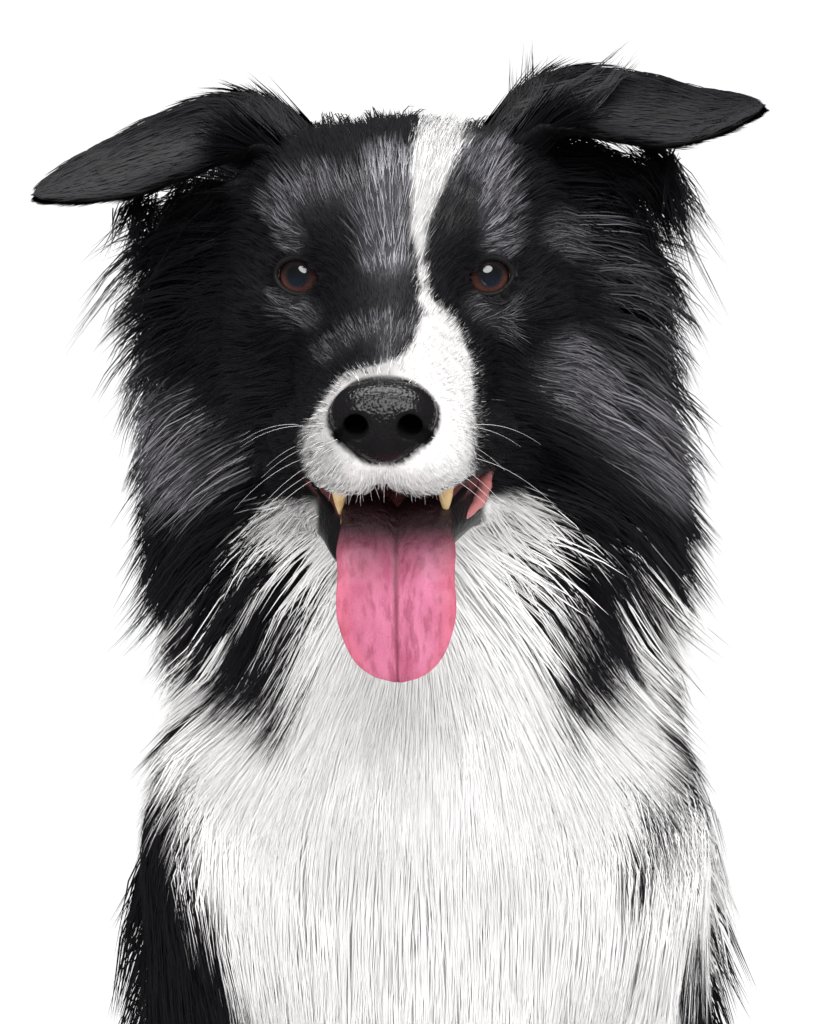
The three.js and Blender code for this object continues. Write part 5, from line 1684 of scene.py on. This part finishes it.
@dataclass(frozen=True)
class Fringe:
    """Long loose hairs that spring from one place on the head and end round another, for a dog's left side
    and mirrored for its right."""

    side: Side
    start: tuple[float, float, float]
    end: tuple[float, float, float]
    count: int
    root_spread: float = 9.0
    tip_spread: float = 13.0
    droop: float = 9.0

    def strands(self, random: np.random.Generator) -> Strands:
        """Hairs in clumps of about 16, along parabolas that leave sideways and bend down to their tips."""
        mirror = np.array([self.side.value, 1, 1], float)
        n = self.count
        clumps = max(n // 16, 1)
        clump = random.integers(0, clumps, n)
        lean = random.normal(size=(clumps, 3))[clump] * self.tip_spread * 0.8
        shift = random.normal(size=(clumps, 3))[clump] * self.root_spread * np.array([0.6, 0.7, 0.6])
        start = np.array(self.start) + shift + random.normal(size=(n, 3)) * self.root_spread * 0.3
        end = np.array(self.end) + lean + random.normal(size=(n, 3)) * self.tip_spread * 0.12
        bend = start * np.array([0.4, 0.5, 0.8]) + end * np.array([0.6, 0.5, 0.2]) + [0.0, 0.0, self.droop]
        t = np.linspace(0, 1, 4)[None, :, None] * (0.45 + 0.55 * random.random(n))[:, None, None]
        paths = (1 - t) ** 2 * start[:, None] + 2 * t * (1 - t) * bend[:, None] + t**2 * end[:, None]
        paths = on_head((paths * mirror).reshape(-1, 3)).reshape(paths.shape)
        ups = unit(np.broadcast_to(np.array([0.0, -0.5, 1.0]), paths.shape).copy())
        width = 0.6 * (0.7 + 0.6 * random.random(n))
        tone = random.random(n)
        return Strands(paths, ups, width, np.zeros(paths.shape[:2]), np.zeros(n), tone, paths[:, 0])


FRINGES = (
    Fringe(Side.RIGHT, (50, 70, 50), (54, 70, 66), 70, 8.0, 6.0, 2.0),
    Fringe(Side.RIGHT, (36, 64, 42), (70, 66, 54), 320, 8.0, 7.0, 3.0),
    Fringe(Side.RIGHT, (92, 56, 26), (106, 66, 2), 260, 8.0, 9.0, 2.0),
    Fringe(Side.RIGHT, (80, 62, 24), (110, 78, -14), 440, 10.0, 10.0, 2.0),
    Fringe(Side.RIGHT, (66, 70, 18), (110, 84, -36), 480, 11.0, 11.0, 2.0),
    Fringe(Side.RIGHT, (58, 76, 0), (106, 86, -56), 440, 11.0, 11.0, 2.0),
    Fringe(Side.LEFT, (36, 64, 44), (72, 66, 64), 320, 8.0, 7.0, 3.0),
    Fringe(Side.LEFT, (56, 70, 46), (94, 64, 38), 360, 7.0, 6.0, 1.0),
    Fringe(Side.LEFT, (44, 68, 48), (58, 72, 84), 150, 8.0, 8.0, 2.0),
    Fringe(Side.LEFT, (58, 68, 58), (92, 70, 84), 150, 8.0, 6.0, 4.0),
    Fringe(Side.LEFT, (60, 66, 38), (104, 64, 36), 320, 7.0, 7.0, 1.0),
    Fringe(Side.LEFT, (96, 56, 44), (108, 66, 16), 260, 8.0, 9.0, 2.0),
    Fringe(Side.LEFT, (84, 62, 38), (112, 78, 2), 440, 10.0, 10.0, 2.0),
    Fringe(Side.LEFT, (68, 72, 24), (112, 84, -28), 480, 11.0, 11.0, 2.0),
    Fringe(Side.LEFT, (58, 76, 4), (106, 86, -54), 440, 11.0, 11.0, 2.0),
)


EAR_HAIRS = 6600


def loose_growth(name: str, axis: Array) -> Growth:
    """A stretch whose hairs are given, mapped round an axis."""
    return Growth(name, "ear_coat", lambda p, n, h: h, Unwrap(axis), 0, 3, 0.0)


def gathered(strands: Sequence[Strands]) -> Strands:
    """Several lots of hairs as one."""
    return Strands(*(np.concatenate([getattr(lot, name) for lot in strands])
                     for name in ("paths", "ups", "widths", "white", "grey", "tone", "roots")))


@dataclass(frozen=True)
class Eye:
    """An eyeball with its bulging cornea, and the black rims of the lids."""

    side: Side
    bulge: float = 0.9
    rim_radius: float = 0.95

    def ball(self) -> bpy.types.Object:
        """A sphere in rings about the gaze, raised over the iris by a smooth cornea."""
        opening = EYES[self.side]
        across, up, gaze = opening.axes()
        rings, sides = 48, 64
        angle = np.linspace(0.02, np.pi - 0.02, rings)
        turn = np.linspace(0, 2 * np.pi, sides, endpoint=False)
        cornea = self.bulge * (1 - smoothstep(angle, 0.25, 0.78))
        radius = EYEBALL + cornea - 0.25 * smoothstep(angle, 0.7, 0.9)
        ring = across * np.cos(turn)[None, :, None] + up * np.sin(turn)[None, :, None]
        points = eye_centre(self.side) + radius[:, None, None] * (
            gaze * np.cos(angle)[:, None, None] + ring * np.sin(angle)[:, None, None])
        ball = finish_shell(f"eyeball_{self.side.name.lower()}", points)
        rise = np.outer(np.sin(angle), np.sin(turn)).ravel()
        spokes = np.tile(np.cos(turn * 2) + turn / 3, rings)
        add_attribute(ball, "angle", np.concatenate([np.repeat(angle, sides), [0.0, np.pi]]))
        add_attribute(ball, "rise", np.concatenate([rise, [0.0, 0.0]]))
        add_attribute(ball, "turn", np.concatenate([spokes, [0.0, 0.0]]))
        return dress(ball, EyeFinish(self.side).make(), "eye", f"eye_{self.side.name.lower()}")

    def lids(self) -> bpy.types.Object:
        """The wet black rim round the opening, thickest above."""
        path = EYES[self.side].rim(72, EYEBALL + 1.35, 0.35)
        t = np.linspace(0, 2 * np.pi, 72, endpoint=False)
        radii = self.rim_radius * (1.0 + 0.25 * np.maximum(np.sin(t), 0.0))
        return tube(f"lid_rim_{self.side.name.lower()}", path, radii, 10, closed=True)


@dataclass(frozen=True)
class Muzzle:
    """Nose, lips, teeth, tongue and whiskers."""

    nose_step: float = 0.85
    tongue_path: tuple = (
        (1, 14, -76), (2.5, -30, -78), (3.5, -61, -83), (3.7, -75, -95), (4, -81, -115), (4.4, -80, -140))

    def nose_distance(self, p: Array) -> Array:
        """The nose pad with nostrils and the groove between them cut out."""
        core = Limb(0, 0, 0, on_head(0, -86, -48), on_head(0, -74, -48), 13.5, 13.5)
        d = -smooth_min(-np.minimum(NOSE.skin(p), core.distance(p)), nostrils(p), 1.4)
        groove = Limb(0, 0, 0, on_head(0, -101.2, -48), on_head(0, -99.5, -66), 0.8, 1.2)
        return -smooth_min(-d, groove.distance(p), 1.6)

    def nose(self) -> bpy.types.Object:
        """The nose pad, netted through a fine grid."""
        centre = on_head(0, -90, -49)
        low, high = centre - np.array([22, 16, 20]), centre + np.array([22, 32, 20])
        axes = [np.arange(a, b, self.nose_step) for a, b in zip(low, high)]
        grid = np.stack(np.meshgrid(*axes, indexing="ij"), axis=-1)
        vertices, faces = net_surface(axes, self.nose_distance(grid))
        pad = mesh_object("nose_pad", vertices, faces)
        # Painted shade: the nostrils' insides beyond a set depth.
        deep = smoothstep(from_head(vertices)[:, 1], -99.0, -95.5) * (nostrils(vertices) < 1.0)
        add_attribute(pad, "deep", deep)
        return dress(pad, LeatherFinish().make(), "nose", "nose")

    def tongue(self) -> bpy.types.Object:
        """The tongue: a flat rounded section with a groove down its middle, which hangs over the lower lip.

        Half its width grows from 16 to 20.5 mm and rounds off by a quarter circle over the last fifth. The
        upper face dips along the middle, and the edges curl and wave slightly.
        """
        u = np.linspace(0.01, 0.999, 90)
        turn = np.linspace(0, 2 * np.pi, 56, endpoint=False)
        line = on_head(spline(self.tongue_path, u))
        tangent = unit(np.gradient(line, axis=0))
        side = np.tile(HEAD_TURN @ np.array([1.0, 0, 0]), (len(u), 1))
        out = unit(np.cross(tangent, side))
        close = np.sqrt(np.maximum(0.0, 1 - np.clip((u - 0.8) / 0.2, 0, 1) ** 2))
        half = blend(16.0, 20.5, np.clip(u * 1.6, 0, 1)) * np.maximum(close, 0.02)
        half = half * (1 + 0.012 * np.sin(u * 34.0))
        thick = 3.1 * np.maximum(close, 0.06) ** 0.6
        c, s = np.cos(turn), np.sin(turn)
        x = np.sign(c) * np.abs(c) ** 0.85
        groove = (np.exp(-(x / 0.07) ** 2) * 0.5 + np.exp(-(x / 0.3) ** 2) * 0.35) * (s > 0)
        y = s * (1 - groove)
        curl = 2.4 * x**2
        points = (line[:, None] + side[:, None] * (half[:, None] * x[None])[..., None]
                  + out[:, None] * (thick[:, None] * y[None] + curl[None] * close[:, None])[..., None])
        ripples = 0.35 * np.sin(u[:, None] * 60.0 + 5.0 * x[None]) * np.abs(x)[None] ** 2
        points = points + out[:, None] * ripples[..., None]
        piece = finish_shell("tongue_flesh", points)
        add_attribute(piece, "along", np.concatenate([np.repeat(u, len(turn)), [0.0, 1.0]]))
        add_attribute(piece, "across", np.concatenate([np.tile(np.abs(x), len(u)), [0.0, 0.0]]))
        return dress(piece, TongueFinish().make(), "tongue", "tongue")

    def lips(self) -> bpy.types.Object:
        """The wet black edges of both lips, from the front back to the corners of the mouth."""
        pieces = []
        for s in (-1, 1):
            upper = [[s * 15, -78, -73], [s * 22, -64, -72.5], [s * 28, -44, -71], [s * 33, -22, -69],
                     [s * 36, -6, -67], [s * 37.5, 8, -66]]
            lower = [[s * 1, -64, -88], [s * 9, -61, -88], [s * 17.5, -51, -85], [s * 25, -29, -77.5],
                     [s * 30.5, -12, -72], [s * 35, 0, -68], [s * 37, 8, -66]]
            for label, knots, size in (("upper", upper, 1.3), ("lower", lower, 2.5)):
                t = np.linspace(0, 1, 40)
                radii = size * (0.55 + 0.45 * np.sin(np.pi * np.clip(t, 0.05, 0.98)) ** 0.5)
                radii = radii * (1 + 0.06 * np.sin(t * 40.0 + s))
                pieces.append(tube(f"lip_{label}", on_head(spline(knots, t)), radii, 12))
        return joined("lips", pieces)

    def lining(self) -> bpy.types.Object:
        """The pink fold inside the left corner of the mouth."""
        t = np.linspace(0, 1, 36)
        knots = [[37.5, -1, -68], [34, -12, -72.5], [31.5, -26, -80.5], [24, -38, -88]]
        radii = 2.3 * (1 - 0.2 * np.cos(2 * np.pi * t)) * np.sin(np.pi * (0.08 + 0.86 * t)) ** 0.5
        radii = radii * (1 + 0.09 * np.sin(t * 31) + 0.05 * np.sin(t * 57))
        fold = tube("cheek_fold", on_head(spline(knots, t)), radii, 14)
        return dress(fold, GUM.make(), "tongue")

    def teeth(self) -> bpy.types.Object:
        """Curved canines above and below, with small incisors between the lower ones."""
        pieces = []
        for s in (-1, 1):
            canines = [
                ([s * 17.5 + 2, -64, -60], [s * 18.4 + 2, -65, -73], [s * 18.6 + 2, -63, -83], 3.4),
                ([s * 14 + 2, -56, -99], [s * 16 + 2, -58, -89], [s * 17 + 2, -57, -80], 3.0),
            ]
            for a, b, c, size in canines:
                t = np.linspace(0, 1, 14)
                pieces.append(tube("tooth", on_head(spline([a, b, c], t)), size * (1 - t**2.4) + 0.3, 12))
            for k in range(3):
                x = s * (2.2 + 3.8 * k)
                t = np.linspace(0, 1, 8)
                base = [[x, -62 + 0.6 * k, -94], [x, -63.5 + 0.6 * k, -90], [x, -63.5 + 0.6 * k, -86.5]]
                pieces.append(tube("tooth", on_head(spline(base, t)), 1.7 * (1 - 0.65 * t**2.5), 8))
        teeth = joined("teeth", pieces)
        return dress(teeth, TOOTH.make(), "face_coat")

    def whiskers(self, random: np.random.Generator) -> bpy.types.Object:
        """Stiff pale hairs from the pads beside the nose, bent by their own weight, and short ones that hang
        from the front of the upper lip.
        """
        pieces = []
        for s in (-1, 1):
            for row in range(4):
                for column in range(2):
                    out = 22 + 4.4 * column - 1.0 * row
                    root = np.array([s * out, -78 + 12.0 * column, -52 - 5.0 * row])
                    way = unit(np.array([s * (1.0 + 0.2 * random.normal()), -0.1 + 0.3 * column,
                                         0.30 - 0.26 * row + 0.12 * random.normal()]))
                    length = random.uniform(16, 42) * (0.8 + 0.15 * column)
                    t = np.linspace(0, 1, 12)[:, None]
                    sag = np.array([0, 0, -1.0]) * length * 0.5 * t**2.2
                    path = root - way * 4 + way * (length + 4) * t + sag
                    pieces.append(tube("whisker", on_head(path), 0.11 * (1.0 - 0.8 * t[:, 0]), 5))
        for _ in range(34):
            x = random.uniform(-20, 20)
            t = np.linspace(0, 1, 6)[:, None]
            root = np.array([x, -80 + 0.012 * x * x, -68 - 0.006 * x * x])
            way = np.array([0.15 * x / 20 + 0.2 * random.normal(), -0.25, -1.0])
            path = root + way * random.uniform(5, 11) * t + [0, 1, 0] * t * t * 2.0
            pieces.append(tube("whisker", on_head(path), 0.12 * (1 - 0.8 * t[:, 0]), 4))
        whiskers = joined("whiskers", pieces)
        return dress(whiskers, WHISKER.make(), "face_coat")


@dataclass(frozen=True)
class Claws:
    """Four curved claws in front of each paw's toes."""

    length: float = 17.0
    radius: float = 2.9

    def build(self) -> bpy.types.Object:
        """All sixteen claws as one piece."""
        pieces = []
        for s in (-1, 1):
            for name in ("toes", "hind_toes"):
                for spread in (-1.5, -0.5, 0.5, 1.5):
                    root = ANATOMY.joint(name, s) + np.array([spread * 11 * s, abs(spread) * 9 - 13, -4.0])
                    t = np.linspace(0, 1, 14)
                    bend = np.array([[0, 0, 0], [0, -0.55, 0.04], [0, -0.95, -0.28]]) * self.length
                    radii = self.radius * (1 - 0.85 * t**1.5)
                    pieces.append(tube("claw", root + spline(bend, t), radii, 10))
        return dress(joined("claws", pieces), CLAW.make(), "nose")


# -------------------------------------------------------------------------------------------------- studio
@dataclass(frozen=True)
class Studio:
    """Camera, lights and floor."""

    camera_at: tuple[float, float, float] = (-6.5, -1465.0, 572.0)
    pitch: float = 3.8
    focal_pixels: float = 3549.0
    frame_size: tuple[int, int] = (818, 1024)
    floor_radius: float = 1000.0

    def camera(self) -> None:
        """A camera level with the eyes, pitched slightly down."""
        data = bpy.data.cameras.new("camera")
        data.sensor_fit = "VERTICAL"
        data.sensor_height = 24.0
        data.lens = self.focal_pixels / self.frame_size[1] * data.sensor_height
        data.clip_end = 50.0
        camera = bpy.data.objects.new("camera", data)
        camera.location = placed(np.array(self.camera_at))
        camera.rotation_euler = (np.radians(90.0 - self.pitch), 0.0, 0.0)
        bpy.context.scene.collection.objects.link(camera)
        bpy.context.scene.camera = camera

    def softbox(self, name: str, at: Iterable[float], target: Iterable[float], size: tuple[float, float],
                watts: float, seen: bool = True) -> None:
        """A light of the given size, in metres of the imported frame, turned to a target. An unseen one gives
        no highlights."""
        data = bpy.data.lights.new(name, "AREA")
        data.shape = "ELLIPSE"
        data.size, data.size_y = size
        data.energy = watts
        lamp = bpy.data.objects.new(name, data)
        at, target = np.array(list(at), float), np.array(list(target), float)
        z = unit(at - target)
        x = unit(np.cross([0.0, 0.0, 1.0], z)) if abs(z[2]) < 0.99 else np.array([1.0, 0, 0])
        y = np.cross(z, x)
        matrix = np.eye(4)
        matrix[:3, 0], matrix[:3, 1], matrix[:3, 2], matrix[:3, 3] = x, y, z, at
        lamp.matrix_world = matrix.T
        lamp.visible_glossy = seen
        bpy.context.scene.collection.objects.link(lamp)

    def lights(self) -> None:
        """A key softbox above the camera, a broad one overhead, and unseen ones at the sides, below and
        behind."""
        head = placed(on_head(0, 0, 0))
        middle = head - [0, 0, 0.2]
        self.softbox("key", head + [0.1, -1.75, 1.1], head, (1.45, 1.45), 28.0)
        self.softbox("overhead", head + [0.0, -0.15, 1.6], head - [0, 0, 0.1], (1.5, 0.9), 22.0)
        self.softbox("side_right", head + [-2.0, -0.5, 0.2], middle, (1.0, 1.6), 13.0, seen=False)
        self.softbox("side_left", head + [2.0, -0.5, 0.2], middle, (1.0, 1.6), 13.0, seen=False)
        self.softbox("low", head + [0.0, -1.9, -0.5], middle, (1.8, 1.0), 16.0, seen=False)
        self.softbox("rear", head + [0.4, 2.2, 0.9], middle, (1.6, 1.6), 20.0, seen=False)

    def world(self) -> None:
        """A white surround that the camera sees bright and the dog is lit by more gently."""
        world = bpy.data.worlds.new("surround")
        world.use_nodes = True
        tree = world.node_tree
        tree.nodes.clear()
        path = tree.nodes.new("ShaderNodeLightPath")
        light = None
        for ray, strength in (("", 0.06), ("Is Diffuse Ray", 0.60), ("Is Camera Ray", 1.05)):
            sky = tree.nodes.new("ShaderNodeBackground")
            sky.inputs["Color"].default_value = (1.0, 1.0, 1.0, 1.0)
            sky.inputs["Strength"].default_value = strength
            shade = sky.outputs[0]
            if light is not None:
                mix = tree.nodes.new("ShaderNodeMixShader")
                tree.links.new(path.outputs[ray], mix.inputs[0])
                tree.links.new(light, mix.inputs[1])
                tree.links.new(shade, mix.inputs[2])
                shade = mix.outputs[0]
            light = shade
        out = tree.nodes.new("ShaderNodeOutputWorld")
        tree.links.new(light, out.inputs["Surface"])
        bpy.context.scene.world = world
        bpy.context.scene.view_settings.view_transform = "Standard"

    def floor(self) -> None:
        """A round pale floor, just under the paws."""
        turn = np.linspace(0, 2 * np.pi, 96, endpoint=False)
        ring = np.stack([np.cos(turn), np.sin(turn), 0 * turn], axis=-1)
        rings = np.array([100.0, 0.0, -0.2]) + ring[None] * np.array([1, 1, 0]) * np.linspace(
            20, self.floor_radius, 8)[:, None, None]
        rings = np.concatenate([rings, rings[-1:] - [0, 0, 30.0], rings[:1] - [0, 0, 30.0]])
        floor = finish_shell("floor", rings)
        floor.data.materials.append(FLOOR.make())
        floor.visible_glossy = False

    def build(self) -> None:
        """Sets up the whole studio."""
        self.camera()
        self.lights()
        self.world()
        self.floor()


def main() -> None:
    """Builds the dog from skin to whiskers."""
    logging.basicConfig(level=logging.INFO, format="%(message)s")
    Studio().build()
    hide = Hide()
    hide.build()
    hide.piece()
    hair = HairFinish().make()
    coat = Coat(hide)
    for growth in growths():
        dress(coat.mesh(growth, coat.grow(growth)), hair, growth.slot)
    velvet = HairFinish("ear_hair", 0.5, 0.3).make()
    random = np.random.default_rng(41)
    for side, ear in EARS.items():
        ear.build()
        axis = np.stack([on_head(side.value * 38.0, 66, 32), on_head(side.value * 137.0, 36, 40)])
        growth = loose_growth(f"coat_ear_{side.name.lower()}", axis)
        dress(coat.mesh(growth, ear.strands(random, EAR_HAIRS)), velvet, growth.slot)
        eye = Eye(side)
        eye.ball()
        dress(eye.lids(), LipFinish(f"lid_skin_{side.name.lower()}", 0.0, 0.55).make(), "nose")
    fringe = loose_growth("coat_fringes", np.stack([on_head(-60, 70, 20), on_head(60, 70, 20)]))
    loose = gathered([lot.strands(random) for lot in FRINGES])
    dress(coat.mesh(fringe, loose), velvet, fringe.slot)
    muzzle = Muzzle()
    muzzle.nose()
    muzzle.tongue()
    dress(muzzle.lips(), LipFinish().make(), "nose")
    muzzle.lining()
    muzzle.teeth()
    muzzle.whiskers(random)
    Claws().build()


if __name__ == "__main__":
    main()
